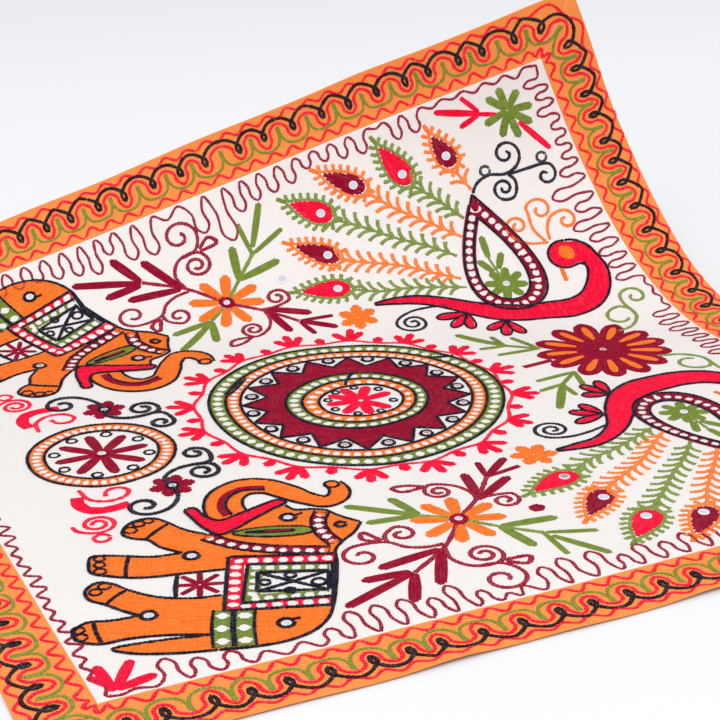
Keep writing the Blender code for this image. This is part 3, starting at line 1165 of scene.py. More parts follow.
@dataclass
class BorderBand:
    """The stitched band on the border: two red zigzags, green scallops, a red meander and black loops."""

    corner_radius: float = 8.0
    corner_run: float = 56.5
    pitch: float = 31.4
    # places of the black loops along the far, right and near sides; the others lie evenly
    far_loops: Tuple[float, ...] = (-126, -95, -60, -27, 3, 44, 75, 110, 145, 177, 211, 245, 273, 309, 337, 375)
    right_loops: Tuple[float, ...] = (373, 341, 315, 283, 258, 231, 200)
    near_loops: Tuple[float, ...] = (21, -12, -41, -74, -108, -142, -168, -198, -232, -264, -293, -321, -357, -384)
    inner_zigzags: int = 152
    outer_zigzags: int = 136

    def legs(self) -> Tuple[float, float]:
        """Returns the straight half lengths along x and y."""
        return CLOTH.half_width - self.corner_radius, CLOTH.half_height - self.corner_radius

    def length(self) -> float:
        """Returns the band's whole run."""
        half_x, half_y = self.legs()
        return 4.0 * (half_x + half_y + self.corner_run)

    def track(self, run: Array, out: Array) -> Array:
        """Finds places on the band, clockwise from the middle of the far side.

        Args:
            run: Distances along the band.
            out: Distances outwards from the seam.

        Returns:
            (n, 2) array on the panel.
        """
        half_x, half_y = self.legs()
        lengths = (half_x, self.corner_run, 2 * half_y, self.corner_run, 2 * half_x, self.corner_run,
                   2 * half_y, self.corner_run, half_x)
        edges = np.cumsum((0.0,) + lengths)
        run = np.mod(run, self.length())
        place = np.zeros((len(run), 2))
        for part in range(9):
            here = (run >= edges[part]) & (run < edges[part + 1])
            t, b = run[here] - edges[part], out[here]
            if part % 2:
                corner = (part - 1) // 2
                centre = ((half_x, half_y), (half_x, -half_y), (-half_x, -half_y), (-half_x, half_y))[corner]
                angle = math.pi / 2 - corner * math.pi / 2 - t / self.corner_run * math.pi / 2
                reach = (self.corner_radius + b) * (1.0 + 0.17 * np.sin(2.0 * angle) ** 2)
                place[here] = round_points(centre, reach, angle)
                continue
            side = (part // 2) % 4
            end_side = side % 2 == 0
            half = half_x if end_side else half_y
            along = t if part == 0 else t - half if part < 8 else t - half_x
            share = along / half
            seam, hem = CLOTH.seam_bow(end_side), CLOTH.hem_bow(end_side)
            bow = (seam + (hem - seam) * b / CLOTH.border_ends) * np.cos(0.5 * math.pi * share)
            reach = (CLOTH.half_height if end_side else CLOTH.half_width) + b + bow
            place[here] = turned(np.column_stack((along, reach)), -90.0 * side)
        return place

    def loop_places(self, needle: Needle) -> Array:
        """Lists the runs of the black loops once round, and of the first two again."""
        half_x, half_y = self.legs()
        corner = self.corner_run
        known = list(self.far_loops) + [half_x + 16.0, half_x + 47.0]
        known += [half_x + corner + half_y - y for y in self.right_loops]
        known += [2.0 * half_x + 2.0 * corner + 2.0 * half_y - x for x in self.near_loops]
        places: List[float] = []
        for here, there in zip(known, known[1:] + [known[0] + self.length()]):
            count = max(1, int(round((there - here) / self.pitch)))
            shifts = needle.random.uniform(-2.0, 2.0, count)
            places += [here + (there - here) * index / count + (shifts[index] if index else 0.0)
                       for index in range(count)]
        return np.array(places + [places[0] + self.length(), places[1] + self.length()])

    def work(self) -> Pieces:
        """Stitches the band."""
        needle = Needle("border", origin=(0.0, 0.0), ground=Ground.ORANGE, seed=11)
        loops = self.loop_places(needle)
        count = len(loops) - 2
        depth = needle.random.uniform(-1.5, 1.5, (count + 1, 4))
        depth[-1] = depth[0]
        middles = 0.5 * (loops[:-1] + loops[1:])
        black: List[Point] = []
        red: List[Point] = []
        for index in range(count + 1):
            here, middle = loops[index], middles[index]
            low, crest, cup, rise = depth[index]
            black += [(here - 9.0, 46.5), (here - 2.6, 41.0), (here + 2.5, 34.0), (here, 26.5 + low),
                      (here - 2.5, 34.0), (here + 2.6, 41.0), (here + 9.0, 46.5), (middle, 49.0 + crest)]
            red += [(here - 7.4, 35.0), (here - 6.6, 25.5), (here, 19.5 + cup), (here + 6.6, 25.5),
                    (here + 7.6, 35.5), (middle, 42.5 + rise)]
        ends = np.append(middles[1:], 0.0)[:count]
        for start, bottom, end, (cup, rise, _, _) in zip(middles, loops[1:], ends, depth):
            green = ((start + 1.0, 39.0 + cup), (start + 0.9, 27.0), (start + 4.5, 19.0), (bottom, 15.0 + rise),
                     (end - 4.5, 19.0), (end - 1.2, 27.0), (end - 1.0, 38.5 + cup))
            needle.line(Thread.GREEN, self.on_track(green), width=3.4, opened=0.35)
        needle.line(Thread.RED, self.on_track(red[:6 * count + 1]), width=3.9, opened=0.3)
        needle.line(Thread.BLACK, self.on_track(black[:8 * count + 1]), width=4.0, lift=0.5, opened=0.1)
        for count, middle_out, swing in ((self.inner_zigzags, 7.5, 4.6), (self.outer_zigzags, 51.5, 3.6)):
            quarter = np.arange(2 * count + 1)
            run = quarter * self.length() / (2 * count) + needle.random.uniform(-1.0, 1.0, len(quarter))
            run[-1] = run[0] + self.length()
            out = middle_out + swing * np.where(quarter % 2, 1.0, -1.0) + needle.random.uniform(-0.8, 0.8, len(quarter))
            out[-1] = out[0]
            needle.line(Thread.RED, self.on_track(list(zip(run, out))), width=3.8, opened=0.25)
        return needle.finish()

    def on_track(self, knots: Sequence[Point]) -> Array:
        """Draws a smooth line through (run, out) points and puts it on the band."""
        line = spline(knots)
        return self.track(line[:, 0], line[:, 1])


@dataclass
class Medallion:
    """The round middle: rings of green and orange with oval windows, a maroon star and a red flower."""

    centre: Point = (-5.0, -1.0)
    flower: Point = (-2.0, -3.5)
    petals: Tuple[int, ...] = (8, 56, 98, 133, 172, 219, 262, 303)
    line_radii: Tuple[float, ...] = (144.0, 127.6, 113.0, 68.0, 54.0, 39.6)
    # thread, inner radius, outer radius, windows, half window along, half window across
    rings: Tuple[Tuple[Thread, float, float, int, float, float], ...] = (
        (Thread.GREEN, 129.0, 142.5, 70, 3.7, 4.3), (Thread.ORANGE, 114.3, 126.2, 80, 2.7, 3.5),
        (Thread.GREEN, 55.3, 66.8, 34, 3.5, 3.7), (Thread.ORANGE, 40.8, 52.8, 24, 2.9, 3.3))
    # ends of the few dark lines that cross the rings
    stray_lines: Tuple[Line, ...] = (((18, 60), (0, 37)), ((104, 66), (132, 57)), ((-118, 62), (-82, 99)),
                                     ((-116, 70), (-86, 100)))
    star_points: int = 16
    star_angle: float = 81.5
    star_ring_circle: float = 103.48
    star_foot: float = 69.3
    star_tip: float = 111.3
    star_valley: float = 88.0

    def work(self) -> Pieces:
        """Stitches the medallion."""
        needle = Needle("medallion", seed=21)
        wobble = Wobble()
        for thread, inner, outer, *windows in self.rings:
            middle = 0.5 * (inner + outer)
            shapes = windowed_ring((inner, middle, outer), *windows)
            needle.fill_round(thread, self.centre, shapes, middle, wobble)
        for radius in self.line_radii:
            needle.edge(wobble.circle(self.centre, radius), 3.5, 0.5)
        zigzag = self.star_edge(needle)
        middle = 0.5 * (self.star_valley + self.star_foot)
        unrolled = np.column_stack((zigzag[:, 0] * middle, zigzag[:, 1]))
        foot = ((math.tau * middle, self.star_foot), (0.0, self.star_foot))
        star = np.vstack((unrolled, foot, unrolled[:1]))
        needle.fill_round(Thread.MAROON, self.centre, [star], middle, wobble)
        edge = [wobble.circle(self.centre, radius, np.array((angle,)))[0] for angle, radius in zigzag]
        outline = np.vstack([np.linspace(edge[i], edge[i + 1], 6)[:-1] for i in range(len(edge) - 1)] + [edge[-1:]])
        needle.edge(outline, 3.4, 0.5)
        for index in range(self.star_points):
            angle = self.star_angle + 360.0 * index / self.star_points
            needle.ring(Thread.BLACK, on_circle(self.centre, self.star_ring_circle, angle), 5.6, width=4.0, lift=0.5)
        for angle, following in zip(self.petals, self.petals[1:] + (self.petals[0] + 360,)):
            needle.petals(Thread.RED, self.flower, (angle,), 1.5, 35.5, 11.5, belly=0.66, blunt=0.6)
            needle.ring(Thread.BLACK, on_circle(self.flower, 32.0, 0.5 * (angle + following)), 3.7, width=3.4)
        for start, end in self.stray_lines:
            needle.edge(axis_between(start, end, -1.5), 3.6, 0.6)
        return needle.finish()

    def star_edge(self, needle: Needle) -> Array:
        """Draws the star's edge as (angle in radians, radius) points over one turn from angle 0."""
        step = math.tau / self.star_points
        first = math.radians(self.star_angle) % step
        knots = []
        for index in range(-1, self.star_points + 2):
            valley = first + index * step
            knots.append((valley, self.star_valley + needle.random.uniform(-1.5, 1.5)))
            knots.append((valley + 0.5 * step, self.star_tip))
        angles, radii = zip(*knots)
        turns = np.unique(np.concatenate(([0.0, math.tau], [a for a in angles if 0.0 < a < math.tau])))
        heights = np.interp(turns, angles, radii)
        heights[-1] = heights[0]
        return np.column_stack((turns, heights))


@dataclass
class Vine:
    """The red vine round the medallion, with sprigs of three petals and round buds."""

    centre: Point = (-5.0, -1.0)
    radius: float = 153.0
    # how far and in which direction its circle leans out
    lean: float = 3.2
    lean_angle: float = 160.0
    sprigs: int = 16
    first_angle: float = 91.0
    # direction and length of a sprig's petals
    fan: Tuple[Point, ...] = ((-38.0, 26.0), (-1.0, 29.0), (38.0, 26.0))

    def work(self) -> Pieces:
        """Stitches the vine."""
        needle = Needle("vine", seed=31)
        angles = np.linspace(0.0, math.tau, 720)
        step = 360.0 / self.sprigs
        reach = self.run(angles) + 2.4 * np.cos(self.sprigs * (angles - math.radians(self.first_angle)))
        needle.line(Thread.RED, round_points(self.centre, reach, angles), width=4.4, opened=0.1)
        for index in range(self.sprigs):
            angle = self.first_angle + step * index + needle.random.uniform(-1.2, 1.2)
            base = on_circle(self.centre, self.run(math.radians(angle)) + 1.0, angle)
            size = needle.random.uniform(0.94, 1.06)
            for fan, length in self.fan:
                tip = on_circle(base, size * length, angle + fan + needle.random.uniform(-6.0, 6.0))
                needle.blade(Thread.RED, base, tip, 8.8, belly=0.7, blunt=0.75)
            bud = angle + 0.5 * step
            start = self.run(math.radians(bud)) - 2.5
            needle.petals(Thread.RED, self.centre, (bud,), start, start + 15.5, 11.0, belly=0.55, blunt=0.7)
        return needle.finish()

    def run(self, angles: Array) -> Array:
        """Returns the line's middle radius at angles in radians."""
        return self.radius + self.lean * np.cos(angles - math.radians(self.lean_angle))


@dataclass
class Meander:
    """The maroon line that winds along the panel's edge, deeper and shallower as the hand went."""

    top: float = 3.5
    # place along the side and depth of each bend, clockwise from the far left corner
    far: Line = ((-174, 40), (-154, 47), (-135, 28), (-112, 45), (-89, 48), (-62, 14), (-28, 45),
                              (-2, 66), (21, 38), (41, 32), (63, 31), (85, 29), (107, 20), (129, 20), (150, 25),
                              (172, 28), (195, 7), (215, 28), (236, 28), (262, 9), (288, 8), (313, 10), (338, 9),
                              (362, 12))
    right: Line = ((-375, 30), (-358, 22), (-340, 27), (-320, 18), (-302, 20), (-284, 20), (-267, 30),
                                (-244, 50), (-222, 32), (-200, 45), (-182, 34), (-160, 34), (-142, 32), (-122, 34))
    near: Line = ((-68, 35), (-48, 25), (-28, 41), (0, 42), (19, 36), (47, 17), (62, 12), (81, 25),
                               (101, 43), (120, 31), (143, 39), (165, 40), (187, 40), (209, 24), (235, 15),
                               (265, 15), (288, 26), (314, 28), (335, 37), (366, 7))

    def side(self, bends: Sequence[Point], pitch: float, depth: float, half: float) -> List[Point]:
        """Completes a side's bends with plain ones where the table has none."""
        done = list(bends)
        while not done or done[-1][0] < half - 1.6 * pitch:
            spot = done[-1][0] + pitch if done else 1.2 * pitch - half
            done.append((spot, depth + 3.0 * math.sin(5.0 * len(done))))
        while done[0][0] > 1.6 * pitch - half:
            done.insert(0, (done[0][0] - pitch, depth + 3.0 * math.sin(4.0 * len(done))))
        return done

    def work(self) -> Pieces:
        """Stitches the line."""
        needle = Needle("edge_meander", origin=(0.0, 0.0), seed=41)
        path: List[Array] = []
        plan = ((self.far, 22.0, 32.0), (self.right, 18.0, 32.0), (self.near, 22.0, 31.0), ((), 19.0, 12.0))
        for number, (bends, pitch, depth) in enumerate(plan):
            end_side = number % 2 == 0
            half = CLOTH.half_width if end_side else CLOTH.half_height
            across = CLOTH.half_height if end_side else CLOTH.half_width
            knots: List[Point] = [(-half + 6.0, 8.0)]
            done = self.side(bends, pitch, depth, half)
            if number == 1:
                done = [(spot, 8.0 if 64.0 < abs(spot) < 116.0 else deep) for spot, deep in done]
            for index, (spot, deep) in enumerate(done):
                before = spot - done[index - 1][0] if index else pitch
                after = done[index + 1][0] - spot if index + 1 < len(done) else pitch
                left, right = min(before, 26.0) * 0.25, min(after, 26.0) * 0.25
                if deep < 18.0:
                    knots += [(spot, float(deep)), (spot + 0.5 * after, self.top)]
                    continue
                knots += [(spot - left, 0.4 * deep), (spot - left, deep - 6.0), (spot, float(deep)),
                          (spot + right, deep - 6.0), (spot + right, 0.4 * deep), (spot + 0.5 * after, self.top)]
            line = spline(knots + [(half - 8.0, 6.0)])
            bow = CLOTH.seam_bow(end_side) * np.cos(0.5 * math.pi * line[:, 0] / half)
            path.append(turned(np.column_stack((line[:, 0], across + bow - line[:, 1])), -90.0 * number))
        needle.line(Thread.MAROON, spline([tuple(p) for p in np.vstack(path)[::2]]), width=3.5, opened=0.15)
        return needle.finish()


def both_halves(needle: Needle, shift: Point) -> List[Half]:
    """Sets how far the near half is moved from the far half's mirror image, and lists the halves."""
    needle.half_shift = shift
    return [Half.FAR, Half.NEAR]


@dataclass
class Sprays:
    """The two crossing sprays with an orange flower in their middle."""

    flower: Point = (-38.0, 263.0)
    petals: Tuple[int, ...] = (113, 71, 17, -20, -73, -113, -157, 157)
    small_flower: Point = (82.0, 182.0)
    reach: float = 1.07
    green: Tuple[BladeRow, ...] = (
        (-13, 288, -4, 331, 9), (-13, 289, 36, 296, 9), (14, 314, 13, 355, 5), (15, 315, 55, 331, 5.5),
        (17, 322, 44, 368, 7), (-64, 242, -109, 235, 8), (-64, 242, -112, 200, 8), (-64, 242, -73, 203, 8.5))
    maroon: Tuple[BladeRow, ...] = (
        (-75, 302, -132, 309, 10), (-74, 301, -101, 352, 10), (-113, 325, -154, 322, 10), (-112, 328, -132, 368, 10),
        (-112, 327, -180, 352, 9), (-3, 237, 38, 212, 9), (-3, 237, 6, 190, 9), (22, 203, 58, 197, 5),
        (22, 203, 54, 177, 8), (22, 203, 28, 174, 6))
    green_stems: Tuple[Line, ...] = (((-34, 267), (-12, 290), (17, 318)), ((-44, 257), (-66, 241)))
    maroon_stems: Tuple[Line, ...] = (
        ((-41, 267), (-68, 298), (-112, 328)), ((-34, 259), (-5, 235), (22, 203)),
        ((-38, 344), (-22, 354), (-16, 346), (-38, 341)), ((-113, 270), (-126, 258), (-122, 248), (-112, 268)),
        ((-36, 196), (-60, 194), (-63, 185), (-50, 186), (-36, 195)))
    curls: Tuple[CurlRow, ...] = (
        (((-70, 298), (-75, 322), (-66, 338), (-48, 343)), -48, 326, 17, -1.6),
        (((-60, 341), (-42, 345), (-34, 358)), -53, 367, 20, 1.15),
        (((-68, 296), (-86, 294), (-99, 287), (-109, 273), (-122, 268)), -138, 285, 19, -1.2),
        (((-109, 273), (-107, 262), (-98, 254)), -93, 265, 13.5, 1.1),
        (((-7, 238), (6, 236), (20, 238)), 15, 249, 14, 1.4),
        (((-6, 238), (-5, 222), (-14, 203), (-34, 195)), -29, 209, 13, -1.5))

    def work(self) -> Pieces:
        """Stitches both sprays."""
        needle = Needle("sprays", seed=51)
        for needle.half in both_halves(needle, (4.0, -4.0)):
            for stem in self.green_stems:
                needle.line(Thread.GREEN, spline(stem), width=5.2, opened=0.1)
            for stem in self.maroon_stems:
                needle.line(Thread.MAROON, spline(stem), width=5.4, opened=0.1)
            needle.curls(Thread.MAROON, self.curls, 4.9)
            for thread, blades in ((Thread.GREEN, self.green), (Thread.MAROON, self.maroon)):
                for x, y, tip_x, tip_y, width in blades:
                    tip = (x + self.reach * (tip_x - x), y + self.reach * (tip_y - y))
                    needle.blade(thread, (x, y), tip, 1.05 * width, blunt=0.8)
            needle.petals(Thread.ORANGE, self.flower, self.petals, 7.0, 42.0, 12.0, belly=0.7, blunt=0.75)
            needle.disc(Thread.MAROON, self.flower, 9.5, lift=0.5)
            needle.ring(Thread.MAROON, self.flower, 5.6, width=3.4, lift=0.9)
            needle.petals(Thread.ORANGE, self.small_flower, range(15, 375, 60), 0.0, 23.0, 12.5, belly=0.7, blunt=0.8)
        needle.half = Half.FAR
        needle.blade(Thread.MAROON, (28.0, -278.0), (44.0, -278.0), 13.0, belly=0.5, blunt=0.6)
        return needle.finish()

@dataclass
class Peacocks:
    """The two red peacocks with their spread feathers."""

    # x, y, half width along the body, from the tail to the head
    body: Tuple[Mark, ...] = (
        (107, 195, 1.5), (128, 191, 5), (155, 181, 7), (180, 164, 9), (200, 146, 11.5), (222, 128, 14),
        (248, 114, 13.5), (275, 107, 15), (300, 101, 14), (325, 105, 13), (346, 122, 11), (358, 148, 10),
        (354, 168, 12), (342, 178, 15))
    near_body: Tuple[Mark, ...] = (
        (110, 188, 1.5), (132, 189, 6), (154, 188, 7.5), (174, 179, 9.5), (192, 164, 12), (206, 145, 14.5),
        (220, 127, 15.5), (237, 110, 16), (258, 101, 17), (280, 99, 16), (302, 99, 15), (325, 105, 13), (346, 122, 11),
        (358, 148, 10), (354, 168, 12), (342, 178, 15))
    head: Point = (333.0, 176.0)
    head_radius: float = 18.5
    throat: Line = ((336, 192), (351, 189), (361, 178), (358, 160), (349, 156), (338, 160), (336, 192))
    neck_edges: Tuple[Line, ...] = (
        ((341, 193), (350, 190), (358, 183), (364, 172)), ((337, 158), (344, 158), (348, 153), (347, 144)))
    feathers: Tuple[FeatherRow, ...] = (
        (81, 233, 41, 246, False, ((96, 226), (120, 212), (150, 204), (190, 188), (212, 178))),
        (90, 280, 60, 307, True, ((101, 268), (125, 255), (160, 235), (190, 210), (212, 192))),
        (104, 331, 75, 357, False, ((116, 318), (140, 298), (170, 270), (200, 245), (222, 222))),
        (151, 347, 122, 374, True, ((163, 332), (180, 308), (205, 280), (225, 258), (238, 242))),
        (207, 337, 194, 378, False, ((212, 321), (225, 304), (240, 280), (250, 262))),
        (261, 337, 254, 366, True, ((264, 318), (268, 303), (272, 290))))
    # centre x, centre y, toe tips
    feet: Tuple[Tuple[float, float, Line], ...] = (
        (192, 139, ((158, 145), (165, 121), (183, 110))), (223, 109, ((197, 100), (208, 79), (228, 76))))
    near_foot_lift: Tuple[float, float] = (0.0, -8.0)
    scrolls: Tuple[CurlRow, ...] = (
        (((271, 285), (280, 294), (296, 298), (316, 292), (331, 296)), 324, 313, 17, 1.3),
        (((317, 291), (322, 283), (318, 268)), 307, 277, 15, -1.45),
        (((318, 290), (342, 288), (360, 286)), 357, 273, 14, -1.1),
        (((182, 160), (160, 166), (135, 167), (117, 158)), 131, 147, 18, 1.9))
    crest: Tuple[CurlRow, ...] = (
        (((325, 197), (302, 206), (289, 222)), 301, 230, 13, -1.3),
        (((322, 199), (316, 220), (319, 240)), 333, 238, 16, -1.1),
        (((327, 199), (331, 214), (343, 227)), 355, 215, 14, -1.1))

    def work(self) -> Pieces:
        """Stitches both peacocks."""
        needle = Needle("peacocks", seed=61)
        for needle.half in both_halves(needle, (-2.0, 0.0)):
            needle.half_shift = (-2.0, 0.0)
            self.work_body(needle)
            self.work_wing(needle)
            needle.half_shift = (6.0, -5.0)
            self.work_wing_flower(needle)
            for feather in self.feathers:
                self.work_feather(needle, feather)
        return needle.finish()

    def work_body(self, needle: Needle) -> None:
        """Stitches the body, head, feet, crest and tail curl."""
        table = self.near_body if needle.half is Half.NEAR else self.body
        sizes = np.array(table)
        axis = spline([(x, y) for x, y, _ in table])
        marks = spline([(x, half) for x, _, half in table])
        share = np.linspace(0.0, 1.0, len(axis))
        half = np.interp(share, np.linspace(0.0, 1.0, len(marks)), marks[:, 1])
        half *= sizes[:, 2].max() / half.max()
        left, right, outline = band(axis, half)
        needle.fill(Thread.RED, outline, angle=75.0)
        needle.fill(Thread.RED, arc(self.head, self.head_radius), angle=75.0)
        needle.fill(Thread.RED, np.array(self.throat), angle=75.0, lift=0.1)
        for side in (left[:-15], right[:-2]):
            needle.edge(side, 3.2, 0.55)
        needle.edge(arc(self.head, self.head_radius, 62.0, 285.0), 3.2, 0.55)
        for edge in self.neck_edges:
            needle.edge(spline(edge), 3.2, 0.6)
        needle.disc(Thread.ORANGE, (336.0, 177.0), 10.0, lift=0.6)
        needle.blade(Thread.ORANGE, (322, 165), (317, 140), 5.0, blunt=0.8)
        for (x, y, toes), lift in zip(self.feet, self.near_foot_lift):
            lift = lift if needle.half is Half.NEAR else 0.0
            for toe_x, toe_y in toes:
                toe = (toe_x, toe_y + lift)
                needle.blade(Thread.RED, (x, y + lift), toe, 8.0, belly=0.62, blunt=0.5)
                needle.edge(drop((x, y + lift), toe, 11.5, sharp=0.8), 2.8, 0.5)
        needle.curls(Thread.BLACK, self.scrolls, 4.5, core=0.15, opened=0.1)
        for centre in ((295, 304), (361, 294)):
            needle.ring(Thread.BLACK, centre, 5.5, width=3.8, opened=0.4)
        needle.curls(Thread.ORANGE, self.crest, 4.4)

    def work_wing(self, needle: Needle) -> None:
        """Stitches the drop-shaped wing with its dotted band."""
        outer = drop((270, 285), (254, 121), 85.0, 1.15)
        inner = drop((264, 258), (254, 139), 54.0, 1.0)
        middle = 0.5 * (outer + inner)
        needle.strap(Thread.MAROON, middle, 15.5, 2.9, 10.4, lift=0.3)
        needle.blade(Thread.MAROON, (266, 264), (270, 284), 9.0, belly=0.4, blunt=0.1, lift=0.25)
        for edge in (outer, inner):
            needle.edge(edge, 3.2, 0.7)

    def work_wing_flower(self, needle: Needle) -> None:
        """Stitches the green flower inside the wing."""
        needle.petals(Thread.GREEN, (254, 165), range(22, 382, 45), 0.0, 25.0, 10.0, belly=0.65)
        needle.line(Thread.GREEN, axis_between((254, 168), (253, 210)), opened=0.2)
        for base, tip in (((253, 205), (258, 236)), ((250, 185), (240, 208)), ((256, 187), (270, 208))):
            needle.blade(Thread.GREEN, base, tip, 8.0, blunt=0.7)

    def work_feather(self, needle: Needle, feather: FeatherRow) -> None:
        """Stitches one feather.

        Args:
            needle: The needle.
            feather: Its row of the table.
        """
        x, y, tip_x, tip_y, warm, stem = feather
        eye, leaf = (Thread.MAROON, Thread.ORANGE) if warm else (Thread.RED, Thread.GREEN)
        away = np.array((x - tip_x, y - tip_y)) / math.dist((x, y), (tip_x, tip_y))
        end = (x + 15.0 * away[0], y + 15.0 * away[1])
        outline = drop((tip_x, tip_y), end, 22.5 if warm else 25.5, 1.0)
        needle.fill(eye, outline, math.degrees(math.atan2(away[1], away[0])))
        grown = drop(tuple(np.array((tip_x, tip_y)) - 3.0 * away), tuple(end + 2.0 * away), 25.5 if warm else 27.5, 1.0)
        needle.line(leaf, grown, width=3.8, opened=0.2)
        spots, ways = along_line(grown, 8.2)
        for spot, way in zip(spots, ways):
            out = np.array((way[1], -way[0]))
            lean = out if np.dot(out, spot - (x, y)) > 0.0 else -out
            lean = lean - 0.35 * away
            needle.line(leaf, axis_between(spot, spot + 8.6 * lean / np.linalg.norm(lean), 1.6), width=5.0, opened=0.15)
        needle.blade(leaf, (tip_x, tip_y), (tip_x - 15.0 * away[0], tip_y - 15.0 * away[1]), 5.0)
        axis = spline(stem)
        needle.line(leaf, axis, width=4.2, opened=0.2)
        spots, ways = along_line(axis, 12.5, 0.35)
        for number, (spot, way) in enumerate(zip(spots, ways)):
            for side in (-1.0, 1.0):
                lean = turned(-way[None, :], side * 50.0)[0]
                length = 20.0 - 4.0 * number / len(spots)
                needle.line(leaf, axis_between(spot, spot + length * lean, side * -2.4), width=5.0, opened=0.2)


@dataclass
class Elephants:
    """The two orange elephants with trunk raised, red tusks, a saddle cloth and straps."""

    # open outlines of the far elephant; its fill closes them through the body
    front_leg: Line = (
        (-233, 198), (-248, 180), (-256, 162), (-264, 150), (-278, 147), (-292, 155), (-297, 167), (-290, 178),
        (-282, 183), (-276, 200), (-263, 218))
    middle_leg: Line = (
        (-263, 218), (-285, 214), (-305, 204), (-320, 196), (-332, 192), (-338, 204), (-340, 218), (-330, 228),
        (-317, 237), (-295, 246), (-270, 252), (-241, 260))
    third_leg: Line = (
        (-258, 298), (-283, 291), (-303, 279), (-322, 256), (-330, 242), (-340, 235), (-352, 242), (-354, 258),
        (-345, 270), (-335, 286), (-326, 298))
    back_leg: Line = (
        (-326, 298), (-345, 296), (-370, 291), (-380, 300), (-378, 314), (-368, 323), (-345, 326), (-315, 335),
        (-285, 350))
    tail: Line = ((-284, 350), (-320, 340), (-360, 336), (-348, 347), (-322, 360), (-290, 371))
    belly: Line = (
        (-290, 371), (-262, 379), (-240, 382), (-215, 377), (-196, 363), (-186, 348), (-170, 318), (-156, 288),
        (-148, 268), (-137, 258), (-123, 249), (-110, 235))
    brow: Line = (
        (-110, 235), (-118, 222), (-123, 212), (-127, 202), (-137, 195), (-152, 188), (-155, 178))
    # x, y, half width along the trunk
    trunk: Tuple[Mark, ...] = (
        (-205, 182, 17), (-204, 158, 17), (-194, 138, 16.5), (-176, 129, 15.5), (-157, 136, 14.5), (-144, 155, 12.5),
        (-133, 175, 12), (-120, 187, 10), (-108, 183, 9.5), (-101, 171, 9), (-101, 157, 7.5))
    tusk: Line = (
        (-234, 147), (-229, 147), (-224, 165), (-217, 178), (-195, 175), (-170, 168), (-157, 166), (-152, 171),
        (-170, 181), (-190, 190), (-210, 200), (-225, 203), (-231, 190), (-235, 165))
    neck_strap: Line = ((-237, 199), (-232, 207), (-220, 225), (-198, 243), (-153, 268))
    head_strap: Line = ((-131, 202), (-141, 216), (-146, 236), (-144, 259))
    # corners of the saddle cloth, of its green frame and of its inner patch
    saddle: Line = ((-232, 242), (-151, 275), (-187, 349), (-266, 321))
    saddle_frame: Line = ((-222, 260), (-160, 288), (-181, 337), (-249, 316))
    saddle_patch: Line = ((-220, 276), (-168, 298), (-180, 326), (-232, 304))
    girth: Line = ((-258, 322), (-268, 345), (-277, 372))
    star_cloth: Line = ((-279, 251), (-248, 262), (-263, 298), (-292, 284))

    def work(self) -> Pieces:
        """Stitches both elephants."""
        needle = Needle("elephants", seed=71)
        needle.far_set = self.far_set
        for needle.half in both_halves(needle, (0.0, 0.0)):
            self.work_body(needle)
            self.work_head(needle)
            self.work_saddle(needle)
        return needle.finish()

    def far_set(self, path: Array) -> Array:
        """Moves the far elephant's neck and back a little to the left, where they differ from the near one's."""
        moved = path.copy()
        share = np.interp(path[:, 0], (-275.0, -195.0), (0.0, 1.0))
        moved[:, 0] -= share * np.interp(path[:, 1], (206.0, 236.0, 262.0, 292.0, 320.0, 348.0), (0, 6, 6, 10, 10, 0))
        return moved

    def work_body(self, needle: Needle) -> None:
        """Stitches the body and legs with their outline, ankle lines and toenails."""
        parts = (self.front_leg, self.middle_leg, self.third_leg, self.back_leg, self.tail, self.belly, self.brow)
        edges = [spline(part) for part in parts]
        inner = ((-241, 260), (-258, 298))
        outline = np.vstack((*edges[:2], inner, *edges[2:], ((-165, 172), (-200, 184), (-230, 194)), edges[0][:1]))
        holes = [self.framed(self.saddle, 0.97), band(spline(self.girth), 15.0)[2],
                 band(spline(self.neck_strap)[4:-4], 5.0)[2], band(spline(self.head_strap)[4:-4], 5.5)[2]]
        needle.fill(Thread.ORANGE, outline, angle=25.0, holes=holes)
        for edge in edges:
            needle.edge(edge, 3.3, 0.55)
        for start, end in (((-256, 164), (-283, 183)), ((-304, 204), (-317, 236)), ((-323, 256), (-344, 270)),
                           ((-361, 292), (-364, 322)), ((-279, 251), (-292, 284))):
            needle.edge(axis_between(start, end, 1.0), 4.0, 0.65)
        for x, y, radius in ((-289, 162, 5.5), (-279, 154, 5), (-270, 152, 4.5), (-327, 198, 4.5), (-330, 208, 4.5),
                             (-333, 219, 5), (-337, 243, 5), (-346, 249, 5), (-375, 298, 5), (-376, 309, 5)):
            needle.ring(Thread.BLACK, (x, y), radius, width=2.7, lift=0.6)
        for x, y in ((-258, 226), (-320, 301), (-230, 358)):
            needle.ring(Thread.BLACK, (x, y), 6.2, width=4.4, lift=0.7)
        needle.edge(axis_between((-225, 355), (-217, 356)), 3.2, 0.7)

